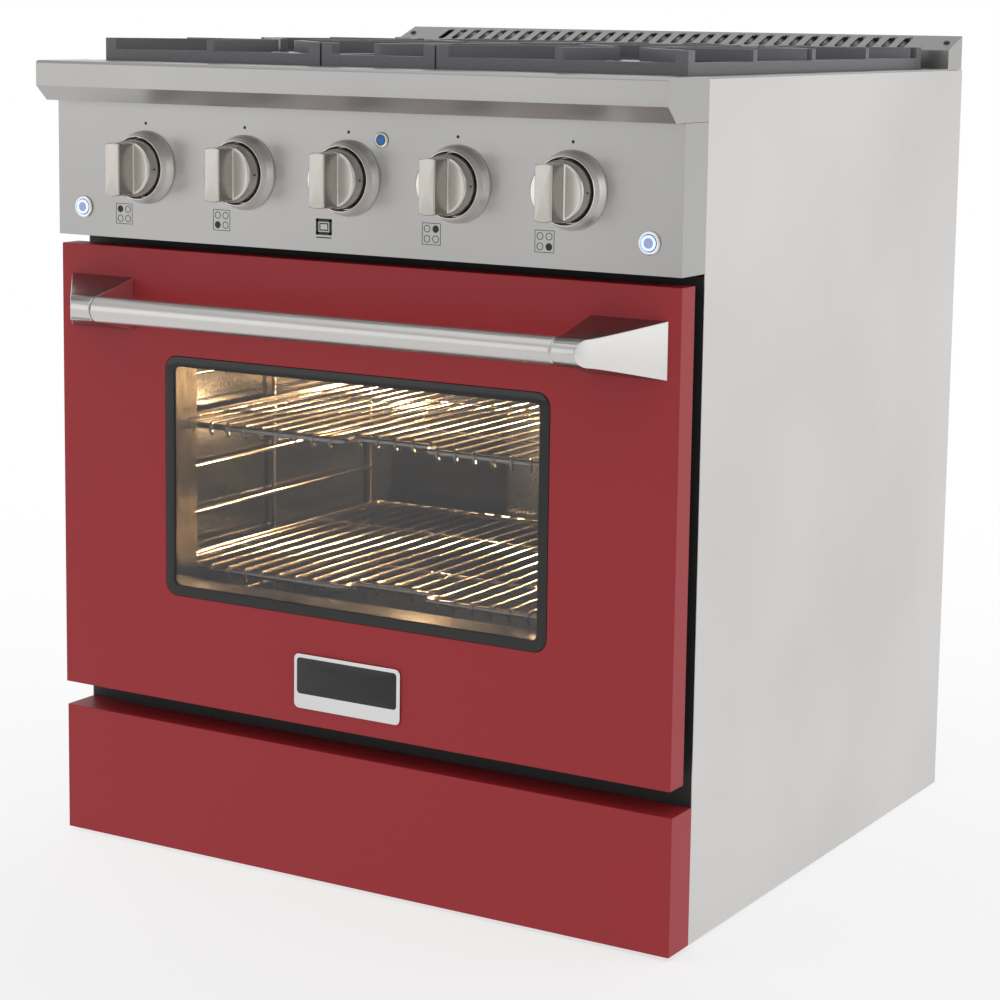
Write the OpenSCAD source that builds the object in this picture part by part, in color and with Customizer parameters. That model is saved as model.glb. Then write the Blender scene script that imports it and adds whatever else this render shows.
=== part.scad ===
// Freestanding gas range, 760 mm class, with five front knobs, a drop-down oven door,
// three cast grates over four burners, two oven racks and four levelling feet.
// Design axes: X across the front, Y = 0 at the front edge of the side panels and growing
// to the rear, Z = 0 at the bottom edge of the side panels. place() moves the whole range
// so that its origin is on the floor, under the middle of its bounding box.

/* [Casing] */
// Width over the side panels
body_w = 760; // [600:5:920]
// Depth of the side panels
body_d = 660; // [580:5:720]
// Height of the side panels
body_h = 857; // [830:1:900]
// Sheet thickness of the casing
sheet = 1.5; // [1:0.1:2]
// Height of the panel bottoms above the floor, feet fully screwed in
foot_gap = 4; // [3:0.5:8]

/* [Front] */
// Height of the kick panel
kick_h = 142; // [110:1:150]
// How far the kick panel stands in front of the side panels
kick_reach = 43; // [36:1:48]
// Gap between the kick panel and the door
kick_gap = 27; // [24:1:34]
// Thickness of the door shell
door_t = 28; // [26:1:34]
// How far the door face stands in front of the side panels
door_reach = 46; // [44:1:56]
// Gap between the door and the control panel
panel_gap = 10; // [6:1:14]
// Height of the control panel
panel_h = 145; // [135:1:160]
// How far the control panel stands in front of the side panels
panel_reach = 49; // [44:1:60]
// How far the front trim stands in front of the side panels
trim_reach = 85; // [70:1:100]
// Height of the trim's upright face
trim_face = 27; // [20:1:32]
// Depth of the trim's lower chamfer
trim_chamfer = 17; // [8:1:22]
// Height of the trim, from the control panel to the top of the casing
trim_h = 41; // [36:1:46]

/* [Door] */
// Width of the outer door glass
window_w = 475; // [400:1:540]
// Corner radius of the outer door glass
window_r = 15; // [5:1:25]
// Height of the door face above the glass
window_above = 113; // [100:1:130]
// Height of the door face below the glass
window_below = 118; // [110:1:150]
// How much of the glass edge the dark border covers
window_border = 11; // [8:0.5:20]
// Thickness of each door glass
glass_t = 4; // [3:0.5:5]
// Diameter of the handle tube
handle_d = 28; // [22:1:32]
// Gap between the door face and the handle tube
handle_gap = 47; // [40:1:60]
// Width of the casing beside each end of the handle tube
handle_side = 100; // [95:1:140]
// Distance of the handle axis below the door's top edge
handle_drop = 61; // [45:1:80]
// Height of the hinge axis above the door's lower edge
hinge_up = 13; // [12:0.5:14]
// Diameter of the hinge pin
hinge_pin_d = 8; // [6:0.5:10]

/* [Controls] */
// Distance between neighbouring knob axes
knob_pitch = 130; // [105:1:140]
// Height of the knob axes above the control panel's lower edge
knob_up = 77; // [70:1:85]
// Outer diameter of a knob bezel
bezel_d = 78; // [72:1:88]
// Diameter of a knob skirt
knob_d = 62; // [54:1:64]
// How far a knob travels when pushed in
knob_travel = 3; // [2:0.5:4]
// Width of a knob's grip blade
blade_w = 19; // [14:1:22]
// Diameter of a valve stem
stem_d = 8; // [6:0.5:9]
// Diameter of a push button
button_d = 16; // [12:1:18]
// How far a push button travels
button_travel = 3; // [2:0.5:3]

/* [Oven] */
// Width of the casing beside the oven cavity, on each side
oven_side = 75; // [66:1:120]
// Depth of the casing behind the oven cavity
oven_behind = 160; // [140:1:200]
// Distance of the cavity's ceiling below the door's top edge
oven_above = 61; // [52:1:80]
// Height of the oven cavity's sump above the panel bottoms
oven_low = 188; // [186:1:192]
// Height of the removable floor above the sump
floor_up = 22; // [21:1:26]
// Thickness of the insulation
insulation_t = 38; // [20:1:40]
// Height of the lower rack above the panel bottoms
rack_low = 304; // [280:1:320]
// Number of guide steps between the two racks
rack_steps = 3; // [2:1:4]
// Distance between guide steps
guide_pitch = 53; // [48:1:56]
// Distance between the fine wires of a rack
rack_pitch = 23; // [18:1:30]

/* [Hob] */
// Distance of the front burners behind the side panels' front edge
burner_front = 150; // [140:1:170]
// Distance of the rear burners from the side panels' rear edge
burner_back = 225; // [210:1:260]
// Width of the middle grate
middle_grate_w = 139; // [110:1:160]
// Height of the grate tops above the front trim
grate_up = 24; // [20:1:36]
// Depth of the well below the cooktop's rim
well_deep = 12; // [8:1:14]
// Depth of the rear vent guard, front to back
guard_d = 42; // [36:1:60]
// Height of the vent guard's upright front face
guard_face = 23; // [15:1:30]
// Rise of the vent guard's slope
guard_rise = 16; // [8:1:24]
// Number of vent slots
slot_count = 33; // [9:2:35]
// Width of a vent slot
slot_w = 9.5; // [6:0.5:11]

/* [Feet] */
// Diameter of a foot pad
pad_d = 40; // [30:1:44]
// Diameter of a foot's stem
foot_stem_d = 10; // [8:1:12]
// How far a foot screws out
foot_travel = 35; // [20:1:40]

/* [Clearances] */
// Gap where a piece is seated or laid on another
seat = 0.3; // [0.2:0.05:0.5]
// Radial clearance of a running fit
run = 0.05; // [0.02:0.01:0.08]

/* [Hidden] */
$fn = 64;
hand = [-1, 1];
half_w = body_w / 2;
inner_w = half_w - sheet;
// fronts, from the side panels' front edge
door_face = -door_reach;
door_back = door_face + door_t;
panel_face = -panel_reach;
handle_y = door_face - handle_gap - handle_d / 2;
frame_y = -(body_d + handle_y - handle_d / 2) / 2;
// heights
door_z = kick_h + kick_gap;
door_h = body_h - trim_h - panel_h - panel_gap - door_z;
door_top = door_z + door_h;
panel_z = door_top + panel_gap;
panel_top = panel_z + panel_h;
trim_top = body_h + 2;
hinge_z = door_z + hinge_up;
hinge_y = door_back;
window_h = door_h - window_above - window_below;
window_z = door_z + window_below + window_h / 2;
see_w = window_w - 2 * window_border;
see_h = window_h - 2 * window_border;
handle_z = door_top - handle_drop;
handle_l = body_w - 2 * handle_side;
knob_z = panel_z + knob_up;
knob_x = [for (i = [-2:2]) i * knob_pitch];
// controls, reaches counted forward from the control panel's face
bezel_floor = 1.5;
bezel_up = 17;
knob_back = bezel_floor + knob_travel + 1;
knob_face = 33;
blade_up = 24;
knob_front_d = knob_d - 5;
bezel_hole_d = knob_d + 3;
stem_reach = knob_face - knob_travel - 3.5;
button_x = half_w - 35;
button_z = panel_z + 31;
lamp_x = 40;
lamp_z = panel_z + 117;
lamp_d = 6;
// oven
oven_x = half_w - oven_side;
oven_y0 = 2 + seat;
oven_y1 = body_d - oven_behind + seat;
oven_top = door_top - oven_above;
mouth_inset = 5;
liner_t = 1.5;
floor_z = oven_low + floor_up;
rack_z = [rack_low, rack_low + rack_steps * guide_pitch];
rail_d = 7;
guide_d = 5;
guide_x = oven_x - 10.5;
rail_x = guide_x - 2.5;
rack_front = oven_y0 + 18;
rack_rear = oven_y1 - 50;
fan_z = (floor_z + oven_top) / 2;
fan_shaft_d = 8;
fan_d = 150;
fan_box = 230;
fan_box_t = 31;
// door inside
hinge_x = inner_w - 20.5;
ear_gap = 13;
ear_t = 3;
gasket_out = [oven_x + 20, oven_low - 2, oven_top + 22];
gasket_w = 12;
liner_plate_t = 2;
liner_y = door_back + seat;
liner_back = liner_y + liner_plate_t;
inner_glass_y = door_back - glass_t;
door_x = half_w - 1;
// gas
valve_front = -31;
plug_d = 14;
manifold_y = -14;
manifold_z = knob_z - 32;
manifold_d = 18;
supply_x = inner_w - 88.5;
supply_y = oven_y1 + insulation_t + 30;
regulator_z = 96;
inlet_d = 21.3;
inlet_l = 26;
igniter_off = 56;
// hob
well_x = inner_w - 18;
well_front = -5;
well_rear = body_d - guard_d - 20;
well_z = body_h + sheet - well_deep;
grate_y = well_front + 7;
grate_d = well_rear - well_front - 14;
grate_x = well_x - 5;
grate_gap = 2;
grate_z = well_z + seat;
grate_top = trim_top + grate_up;
side_grate_w = grate_x - middle_grate_w / 2 - grate_gap;
burner_x = grate_x - side_grate_w / 2;
burner_rear = body_d - burner_back;
bar_w = 9;
bar_h = 13;
guard_y = body_d - guard_d;
burner_at = [for (x = hand, y = [burner_front, burner_rear]) [x * burner_x, y]];
head_d = [96, 76, 88, 68];
head_z = well_z + 16;
cap_t = 7;
// feet
foot_x = half_w - 50;
foot_y = [60, body_d - 60];
boss_h = 12;
pan_z = sheet;

// ---- helpers ----

// moves a piece from the design axes into the range's frame
module place(paint) {
    translate([0, frame_y, foot_gap]) color(paint) children();
}

// box between two corners
module box(low, high) {
    translate(low) cube(high - low);
}

// plate standing in the XZ plane, its rear face at y, drawn in X and Z
module upright(y, t) {
    translate([0, y, 0]) rotate([90, 0, 0]) linear_extrude(t) children();
}

// prism across the range between two X places, drawn in Y and Z
module across(x0, x1) {
    translate([x0, 0, 0]) rotate([90, 0, 90]) linear_extrude(x1 - x0) children();
}

// turned piece whose axis runs forward from y at (x, z), drawn as radius and reach
module turned(x, y, z) {
    translate([x, y, z]) rotate([90, 0, 0]) rotate_extrude() children();
}

// round bar between two points along one axis
module bar_x(x0, x1, y, z, d) {
    translate([x0, y, z]) rotate([0, 90, 0]) cylinder(h = x1 - x0, d = d);
}
module bar_y(x, y0, y1, z, d) {
    translate([x, y0, z]) rotate([-90, 0, 0]) cylinder(h = y1 - y0, d = d);
}
module bar_z(x, y, z0, z1, d) {
    translate([x, y, z0]) cylinder(h = z1 - z0, d = d);
}

// rectangle with true round corners, centred
module round_rect(w, h, r) {
    square([w - 2 * r, h], center = true);
    square([w, h - 2 * r], center = true);
    for (i = hand, j = hand) translate([i * (w / 2 - r), j * (h / 2 - r)]) circle(r = r);
}

// slot with round ends along Y, centred
module slot_2d(w, l) {
    square([w, l - w], center = true);
    for (j = hand) translate([0, j * (l - w) / 2]) circle(d = w);
}

// ---- casing ----

module side_panel(s) {
    lip = 20;
    place("gainsboro") mirror([s < 0 ? 1 : 0, 0, 0]) {
        box([inner_w, 0, 0], [half_w, body_d, body_h]);
        box([inner_w - lip, 4, 0], [inner_w, body_d - 4, sheet]);
        box([inner_w - lip, body_d - 4 - 2 * sheet, sheet],
            [inner_w, body_d - 4 - sheet, body_h - 60]);
    }
}

module rear_panel() {
    place("silver") upright(body_d - 4 + sheet, sheet) difference() {
        translate([-inner_w + seat, pan_z + 3 * sheet])
            square([2 * inner_w - 2 * seat, body_h - pan_z - 3 * sheet]);
        // opening for the gas connection
        translate([supply_x - 40, regulator_z - 26]) square(80);
        // cooling slots in two fields
        for (i = hand, k = [0:7]) translate([i * 200, 560 + 24 * k]) rotate(90) slot_2d(7, 190);
        for (i = hand, k = [0:3]) translate([i * 200 - 60, 240 + 24 * k]) rotate(90) slot_2d(7, 120);
    }
}

module base_pan() {
    place("darkgray") difference() {
        union() {
            box([-inner_w + seat, 2, pan_z],
                [inner_w - seat, body_d - 4 - 2 * sheet - seat, pan_z + sheet]);
            // upstand behind the kick panel
            box([-inner_w + seat, 2, pan_z], [inner_w - seat, 2 + sheet, kick_h - 2]);
            for (x = hand, y = foot_y) bar_z(x * foot_x, y, pan_z, pan_z + boss_h, 26);
        }
        for (x = hand, y = foot_y) bar_z(x * foot_x, y, -1, boss_h + 9, foot_stem_d + 2 * run);
    }
}

module front_frame() {
    place("dimgray") {
        difference() {
            box([-inner_w + seat, 0, kick_h], [inner_w - seat, 2, panel_z - 3]);
            box([-oven_x + mouth_inset, -1, oven_low + mouth_inset],
                [oven_x - mouth_inset, 3, oven_top - mouth_inset]);
        }
        // shelf under the valves
        box([-inner_w + seat, 0, panel_z - 3 - sheet], [inner_w - seat, 60, panel_z - 3]);
    }
}

module kick_panel() {
    place("firebrick") difference() {
        box([-half_w, -kick_reach, 0], [half_w, -seat, kick_h]);
        box([-inner_w, -kick_reach + sheet, -1], [inner_w, 1, kick_h - sheet]);
    }
}

module control_panel() {
    place("silver") difference() {
        box([-half_w, panel_face, panel_z], [half_w, -seat, panel_top]);
        box([-inner_w, panel_face + sheet, panel_z + sheet], [inner_w, 1, panel_top - sheet]);
        for (x = knob_x) bar_y(x, panel_face - 1, panel_face + 3, knob_z, 24);
        for (s = hand) bar_y(s * button_x, panel_face - 1, panel_face + 3, button_z, button_d + 0.4);
        bar_y(lamp_x, panel_face - 1, panel_face + 3, lamp_z, lamp_d + 2 * seat);
    }
}
// outline of the trim: round nose edge, upright face, chamfer, flat underside
function trim_outline(inset) = let (
        front = -trim_reach + inset,
        top = trim_top - inset,
        low = panel_top + seat + inset,
        nose = 4 - inset / 2,
        back = well_front - 3.5)
    concat(
        [[back, low], [back, top]],
        [for (a = [90:15:180]) [front + nose + nose * cos(a), top - nose + nose * sin(a)]],
        [[front, trim_top - trim_face + inset / 2], [front + trim_chamfer, low]]);

module front_trim() {
    place("silver") difference() {
        across(-half_w, half_w) polygon(trim_outline(0));
        across(-half_w + sheet, half_w - sheet) polygon(trim_outline(sheet));
    }
    // end plates that close the trim against the side panels
    place("silver") for (x = [-half_w, half_w - sheet])
        box([x, well_front - 4, panel_top + seat], [x + sheet, -seat, trim_top]);
}

module cooktop() {
    place("dimgray") difference() {
        union() {
            box([-half_w + 0.5, 0, body_h], [half_w - 0.5, guard_y - seat, body_h + sheet]);
            box([-inner_w + seat, well_front - 3, body_h], [inner_w - seat, 1, body_h + sheet]);
            box([-well_x - sheet, well_front - sheet, well_z - sheet],
                [well_x + sheet, well_rear + sheet, body_h + sheet]);
        }
        box([-well_x, well_front, well_z], [well_x, well_rear, body_h + 5]);
        for (p = burner_at) bar_z(p[0], p[1], well_z - 5, well_z + 1, 42);
        for (p = burner_at) bar_z(p[0], p[1] + igniter_off, well_z - 5, well_z + 1, 8);
    }
}
module vent_guard() {
    top = body_h + guard_face;
    outer = [[guard_y, body_h + seat], [body_d, body_h + seat], [body_d, top + guard_rise],
        [guard_y, top]];
    inner = [[guard_y + sheet, body_h - 1], [body_d - sheet, body_h - 1],
        [body_d - sheet, top + guard_rise - 1.4 * sheet], [guard_y + sheet, top - sheet]];
    pitch = (body_w - 128) / (slot_count - 1);
    place("silver") difference() {
        across(-inner_w, inner_w) polygon(outer);
        across(-inner_w + sheet, inner_w - sheet) polygon(inner);
        for (i = [0:slot_count - 1])
            translate([(i - (slot_count - 1) / 2) * pitch, guard_y + guard_d / 2, top - 6])
                linear_extrude(guard_rise + 12) slot_2d(slot_w, guard_d - 9);
    }
}

module casing_screws() {
    place("silver") {
        for (s = hand, k = [0:5])
            turned(s * (inner_w - 10), body_d - 4 + sheet + seat + 1.6, 60 + k * 140)
                polygon([[0, 0], [2.6, 0], [4, 0.9], [4, 1.6], [0, 1.6]]);
        for (s = hand)
            translate([s * (inner_w - 11), guard_y + guard_d / 2, body_h + guard_face + guard_rise / 2])
            rotate([atan(guard_rise / guard_d), 0, 0]) translate([0, 0, seat])
                cylinder(h = 1.6, d1 = 8, d2 = 5);
    }
}

// ---- oven ----

module oven_liner() {
    place("dimgray") difference() {
        box([-oven_x - liner_t, oven_y0, oven_low - liner_t],
            [oven_x + liner_t, oven_y1 + liner_t, oven_top + liner_t]);
        box([-oven_x, 0, oven_low], [oven_x, oven_y1, oven_top]);
        bar_y(0, oven_y1 - 1, oven_y1 + 5, fan_z, 26);
    }
}

module oven_insulation() {
    in = liner_t + seat;
    place("khaki") difference() {
        box([-oven_x - insulation_t, oven_y0 + seat, oven_low - insulation_t],
            [oven_x + insulation_t, oven_y1 + insulation_t, oven_top + insulation_t]);
        box([-oven_x - in, -1, oven_low - in], [oven_x + in, oven_y1 + in, oven_top + in]);
        bar_y(0, oven_y1, oven_y1 + insulation_t + 1, fan_z, 96);
    }
}

module rack_guides() {
    top = oven_top - 25;
    posts = [rack_front + 20, (rack_front + rack_rear) / 2, rack_rear - 10];
    place("silver") for (s = hand) {
        for (y = posts) {
            bar_z(s * (guide_x + 3.5), y, floor_z + 15, top, guide_d);
            for (z = [floor_z + 40, top - 30])
                bar_x(s < 0 ? -oven_x + seat : guide_x + 3.5, s < 0 ? -guide_x - 3.5 : oven_x - seat,
                    y, z, guide_d);
        }
        for (k = [-1:5]) bar_y(s * guide_x, rack_front, rack_rear + 5,
            rack_low + k * guide_pitch - rail_d / 2 - seat - guide_d / 2, guide_d);
    }
}

module oven_floor() {
    place("dimgray") difference() {
        box([-oven_x + seat, oven_y0 + 8, floor_z - liner_t], [oven_x - seat, oven_y1 - 8, floor_z]);
        for (s = hand, k = [0:4]) translate([s * (oven_x - 25), 80 + k * 85, floor_z - 5])
            linear_extrude(10) slot_2d(10, 60);
    }
}

module bake_burner() {
    pipe = 18;
    z = oven_low + pipe / 2 + seat;
    x = 130;
    y = [oven_y0 + 80, oven_y1 - 60];
    place("silver") {
        for (s = hand) bar_y(s * x, y[0], y[1], z, pipe);
        for (v = y) bar_x(-x, x, v, z, pipe);
        for (s = hand, v = y) translate([s * x, v, z]) sphere(d = pipe);
    }
}

module broil_burner() {
    place("gray") difference() {
        box([-160, 130, oven_top - 22], [160, 350, oven_top - seat]);
        box([-158, 132, oven_top - 14], [158, 348, oven_top - 2]);
        box([-150, 140, oven_top - 23], [150, 340, oven_top - 18]);
        for (k = [0:9]) box([-140, 152 + k * 19, oven_top - 19], [140, 158 + k * 19, oven_top - 13]);
    }
}

module fan_cover() {
    rear = oven_y1 - seat;
    half = fan_box / 2;
    place("dimgray") difference() {
        upright(rear, fan_box_t) translate([0, fan_z]) round_rect(fan_box, fan_box, 14);
        upright(rear + 1, fan_box_t - 1) translate([0, fan_z]) round_rect(fan_box - 4, fan_box - 4, 12);
        // rays of air slots round the middle, and side outlets
        for (a = [0:20:340]) translate([0, rear, fan_z]) rotate([0, a, 0])
            box([-3, -fan_box_t - 1, 28], [3, -fan_box_t + 4, 70]);
        for (s = hand, k = [-3:3])
            box([s < 0 ? -half - 1 : half - 4, rear - fan_box_t + 8, fan_z + k * 26 - 7],
                [s < 0 ? -half + 4 : half + 1, rear - 6, fan_z + k * 26 + 7]);
    }
}

module fan_motor() {
    front = oven_y1 + liner_t + seat;
    place("dimgray") difference() {
        union() {
            bar_y(0, front, front + 6, fan_z, 90);
            bar_y(0, front + 6, front + 48, fan_z, 70);
            bar_y(0, front + 48, front + 56, fan_z, 30);
        }
        bar_y(0, front - 1, front + 45, fan_z, fan_shaft_d + 2 * run);
    }
}

module fan_blade() {
    place("silver") {
        bar_y(0, oven_y1 - 24, oven_y1 + liner_t + 40, fan_z, fan_shaft_d);
        bar_y(0, oven_y1 - 26, oven_y1 - 8, fan_z, 24);
        for (a = [0:60:300]) translate([0, oven_y1 - 17, fan_z]) rotate([0, a, 0]) rotate([0, 0, 35])
            box([-10, -0.8, 8], [10, 0.8, fan_d / 2]);
    }
}

module oven_lamp() {
    place("lightyellow") turned(-oven_x + 70, oven_y1 - seat, oven_top - 70)
        polygon(concat([[0, 0], [30, 0], [30, 5], [25, 5]],
            [for (a = [10:10:90]) [25 * cos(a), 5 + 18 * sin(a)]]));
}

// ---- gas ----

module gas_manifold() {
    place("goldenrod") {
        bar_x(-knob_x[4] - 45, supply_x, manifold_y, manifold_z, manifold_d);
        translate([supply_x, manifold_y, manifold_z]) sphere(d = manifold_d);
        bar_y(supply_x, manifold_y, supply_y, manifold_z, manifold_d);
        translate([supply_x, supply_y, manifold_z]) sphere(d = manifold_d);
        bar_z(supply_x, supply_y, regulator_z + 32, manifold_z, manifold_d);
        // straps that stand on the shelf of the front frame
        for (s = hand) {
            box([s * knob_pitch / 2 - 8, manifold_y, manifold_z - 4],
                [s * knob_pitch / 2 + 8, 6, manifold_z + 4]);
            box([s * knob_pitch / 2 - 8, 3, panel_z - 3 + seat],
                [s * knob_pitch / 2 + 8, 6, manifold_z + 4]);
        }
    }
}

module gas_regulator() {
    stub_y = body_d - 2 - inlet_l;
    place("silver") {
        bar_z(supply_x, supply_y, regulator_z - 6, regulator_z + 32 - seat, 56);
        bar_y(supply_x, supply_y, stub_y, regulator_z + 14, inlet_d + 9);
        bar_y(supply_x, stub_y - 1, body_d - 2, regulator_z + 14, inlet_d);
    }
}

module valve_bodies() {
    place("goldenrod") for (x = knob_x) difference() {
        union() {
            box([x - 15, valve_front, knob_z - 16], [x + 15, 4, knob_z + 16]);
            bar_z(x, manifold_y, manifold_z + manifold_d / 2 + seat, knob_z - 10, 14);
        }
        bar_y(x, valve_front - 1, 0, knob_z, plug_d + 2 * run);
    }
}

module valve_plug(i) {
    place("goldenrod") {
        bar_y(knob_x[i], valve_front + 1, -0.5, knob_z, plug_d);
        bar_y(knob_x[i], panel_face - stem_reach, valve_front + 2, knob_z, stem_d);
    }
}
module burner_bases() {
    place("silver") for (i = [0:3]) translate([burner_at[i][0], burner_at[i][1], 0]) {
        difference() {
            union() {
                bar_z(0, 0, well_z + seat, well_z + 5, head_d[i] - 14);
                bar_z(0, 0, well_z + 5, head_z, head_d[i] - 6);
                bar_z(0, 0, well_z - 26, well_z + 2, 40);
            }
            bar_z(0, 0, well_z - 22, head_z + 1, 30);
            for (a = [0:24:336]) rotate([0, 0, a])
                translate([head_d[i] / 2 - 4, -1.5, well_z + 9]) cube([6, 3, 3]);
        }
    }
}

module burner_caps() {
    place("darkslategray") for (i = [0:3]) translate([burner_at[i][0], burner_at[i][1], head_z + seat])
        rotate_extrude() polygon(concat([[0, 0], [head_d[i] / 2 - 3, 0]],
            [for (a = [-60:15:90]) [head_d[i] / 2 - 3 + 3 * cos(a), 3 + 3 * sin(a)]],
            [[head_d[i] / 4, cap_t - 0.5], [0, cap_t]]));
}

module igniters() {
    place("white") for (p = burner_at) {
        bar_z(p[0], p[1] + igniter_off, well_z - 20, well_z + 12, 6);
        bar_z(p[0], p[1] + igniter_off, well_z + 12, well_z + 15, 3);
    }
}

// ---- controls ----

module control_bezels() {
    place("silver") {
        for (x = knob_x) turned(x, panel_face - seat, knob_z) polygon([[12.5, 0], [bezel_d / 2, 0],
            [bezel_d / 2, 2.5], [bezel_d / 2 - 3.5, 10], [bezel_hole_d / 2 + 1, bezel_up],
            [bezel_hole_d / 2, bezel_up], [bezel_hole_d / 2, bezel_floor], [12.5, bezel_floor]]);
        for (s = hand) turned(s * button_x, panel_face - seat, button_z)
            polygon([[button_d / 2 + 0.2, 0], [button_d / 2 + 4, 0], [button_d / 2 + 3.5, 2.5],
                [button_d / 2 + 0.2, 2.5]]);
    }
}

// turned body of a knob, hollow behind and bored for its stem
function knob_outline() = [[stem_d / 2 + run, knob_back], [9, knob_back], [9, knob_face - 7],
    [knob_front_d / 2 - 2, knob_face - 7], [knob_d / 2 - 2, knob_back], [knob_d / 2, knob_back],
    [knob_front_d / 2 + 0.8, knob_face - 1], [knob_front_d / 2, knob_face], [0, knob_face],
    [0, knob_face - 3], [stem_d / 2 + run, knob_face - 3]];

module knob(i) {
    place("silver") {
        turned(knob_x[i], panel_face, knob_z) polygon(knob_outline());
        // grip blade across the face
        intersection() {
            bar_y(knob_x[i], panel_face - knob_face - blade_up, panel_face - knob_face + 1, knob_z,
                knob_front_d);
            box([knob_x[i] - blade_w / 2, panel_face - knob_face - blade_up, knob_z - knob_d / 2],
                [knob_x[i] + blade_w / 2, panel_face - knob_face + 1, knob_z + knob_d / 2]);
        }
    }
}

module push_button(s) {
    place("lightsteelblue") turned(s * button_x, panel_face + 14, button_z)
        polygon([[0, 0], [button_d / 2, 0], [button_d / 2, 14 + button_travel],
            [button_d / 2 - 0.8, 14 + button_travel + 0.8], [0, 14 + button_travel + 0.8]]);
}

module indicator_lamp() {
    place("royalblue") turned(lamp_x, panel_face + 12, lamp_z)
        polygon([[0, 0], [lamp_d / 2, 0], [lamp_d / 2, 12.5], [lamp_d / 2 - 1.2, 13.5], [0, 14]]);
}

// ---- hob ----

// one finger from the rail at a to b, its top at the grate's top
module finger(a, b) {
    run_l = norm(b - a);
    translate([a[0], a[1], 0]) rotate([0, 0, atan2(b[1] - a[1], b[0] - a[0])])
        translate([0, -bar_w / 2, grate_top - bar_h]) cube([run_l, bar_w, bar_h]);
}

// frame of a grate: low rail all round, posts and legs
module grate_frame(x0, x1, posts_x) {
    y0 = grate_y;
    y1 = grate_y + grate_d;
    rail_low = grate_z + 5;
    rail_top = trim_top + grate_up / 2;
    difference() {
        box([x0, y0, rail_low], [x1, y1, rail_top]);
        box([x0 + bar_w, y0 + bar_w, rail_low - 1], [x1 - bar_w, y1 - bar_w, rail_top + 1]);
    }
    for (x = [x0, x1 - 14], y = [y0, y1 - 14]) box([x, y, grate_z], [x + 14, y + 14, grate_top]);
    for (x = posts_x, y = [y0, y1 - bar_w])
        box([x - bar_w / 2, y, rail_low + 2], [x + bar_w / 2, y + bar_w, grate_top]);
    for (y = [burner_front, (burner_front + burner_rear) / 2, burner_rear], x = [x0, x1 - bar_w])
        box([x, y - bar_w / 2, rail_low + 2], [x + bar_w, y + bar_w / 2, grate_top]);
}

module side_grate(s) {
    x0 = s < 0 ? -grate_x : grate_x - side_grate_w;
    x1 = x0 + side_grate_w;
    cx = s * burner_x;
    mid = (burner_front + burner_rear) / 2;
    y1 = grate_y + grate_d;
    ring = 30;
    reach_y = min(mid - burner_front, burner_front - grate_y, y1 - burner_rear) - 3;
    place("darkslategray") {
        grate_frame(x0, x1, [cx]);
        finger([x0 + 1, mid], [x1 - 1, mid]);
        for (y = [burner_front, burner_rear]) {
            finger([x0 + 1, y], [cx - ring, y]);
            finger([cx + ring, y], [x1 - 1, y]);
            for (i = hand, j = hand) finger([cx + i * ring * 1.1, y + j * ring * 1.1],
                [cx + i * (side_grate_w / 2 - 8), y + j * reach_y]);
        }
        finger([cx, grate_y + 1], [cx, burner_front - ring]);
        finger([cx, burner_front + ring], [cx, burner_rear - ring]);
        finger([cx, burner_rear + ring], [cx, y1 - 1]);
    }
}

module middle_grate() {
    half = middle_grate_w / 2;
    mid = (burner_front + burner_rear) / 2;
    place("darkslategray") {
        grate_frame(-half, half, [0]);
        for (y = [burner_front, mid, burner_rear]) finger([-half + 1, y], [half - 1, y]);
        finger([0, grate_y + 1], [0, grate_y + grate_d - 1]);
    }
}

module rack(z) {
    cross_z = z - 3.5;
    wires = floor((rail_x - 12) / rack_pitch);
    recess = 52;
    place("silver") {
        for (s = hand) bar_y(s * rail_x, rack_front, rack_rear, z, rail_d);
        bar_x(-rail_x, rail_x, rack_rear, z, rail_d);
        for (s = hand, y = [rack_front, rack_rear]) translate([s * rail_x, y, z]) sphere(d = rail_d);
        // front wire with the hand recess in its middle
        bar_x(-rail_x, -recess, rack_front, z, rail_d);
        bar_x(recess, rail_x, rack_front, z, rail_d);
        bar_x(-recess, recess, rack_front + 24, z, rail_d);
        for (s = hand) bar_y(s * recess, rack_front, rack_front + 24, z, rail_d);
        for (s = hand, y = [rack_front, rack_front + 24]) translate([s * recess, y, z]) sphere(d = rail_d);
        for (y = [rack_front + 130, rack_rear - 120]) bar_x(-rail_x, rail_x, y, cross_z + 1, 6);
        for (i = [-wires:wires])
            bar_y(i * rack_pitch, abs(i * rack_pitch) < recess + 4 ? rack_front + 24 : rack_front,
                rack_rear, z + 0.6, 4);
    }
}

// ---- feet ----

module foot(sx, k) {
    place("dimgray") {
        bar_z(sx * foot_x, foot_y[k], -foot_gap, pan_z - seat, pad_d);
        bar_z(sx * foot_x, foot_y[k], -foot_gap + 1, pan_z + boss_h + foot_travel + 10, foot_stem_d);
    }
}

// ---- door ----

module door_skin() {
    place("firebrick") difference() {
        box([-door_x, door_face, door_z], [door_x, door_back, door_top]);
        box([-door_x + sheet, door_face + sheet, door_z + sheet],
            [door_x - sheet, door_back + 1, door_top - sheet]);
        upright(door_face + 3, 4) translate([0, window_z])
            round_rect(window_w + 2 * seat, window_h + 2 * seat, window_r);
        // notches that clear the hinge ears as the door drops
        for (s = hand)
            box([s * hinge_x - 13, door_face + 6, door_z - 1], [s * hinge_x + 13, door_back + 1, door_z + 3]);
    }
}

module door_outer_glass() {
    place("black") upright(door_face + glass_t - seat, glass_t) translate([0, window_z])
        round_rect(window_w, window_h, window_r);
}

module door_inner_glass() {
    place("dimgray") upright(inner_glass_y + glass_t, glass_t) translate([0, window_z])
        square([see_w - 2 * seat, see_h - 2 * seat], center = true);
}

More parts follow.
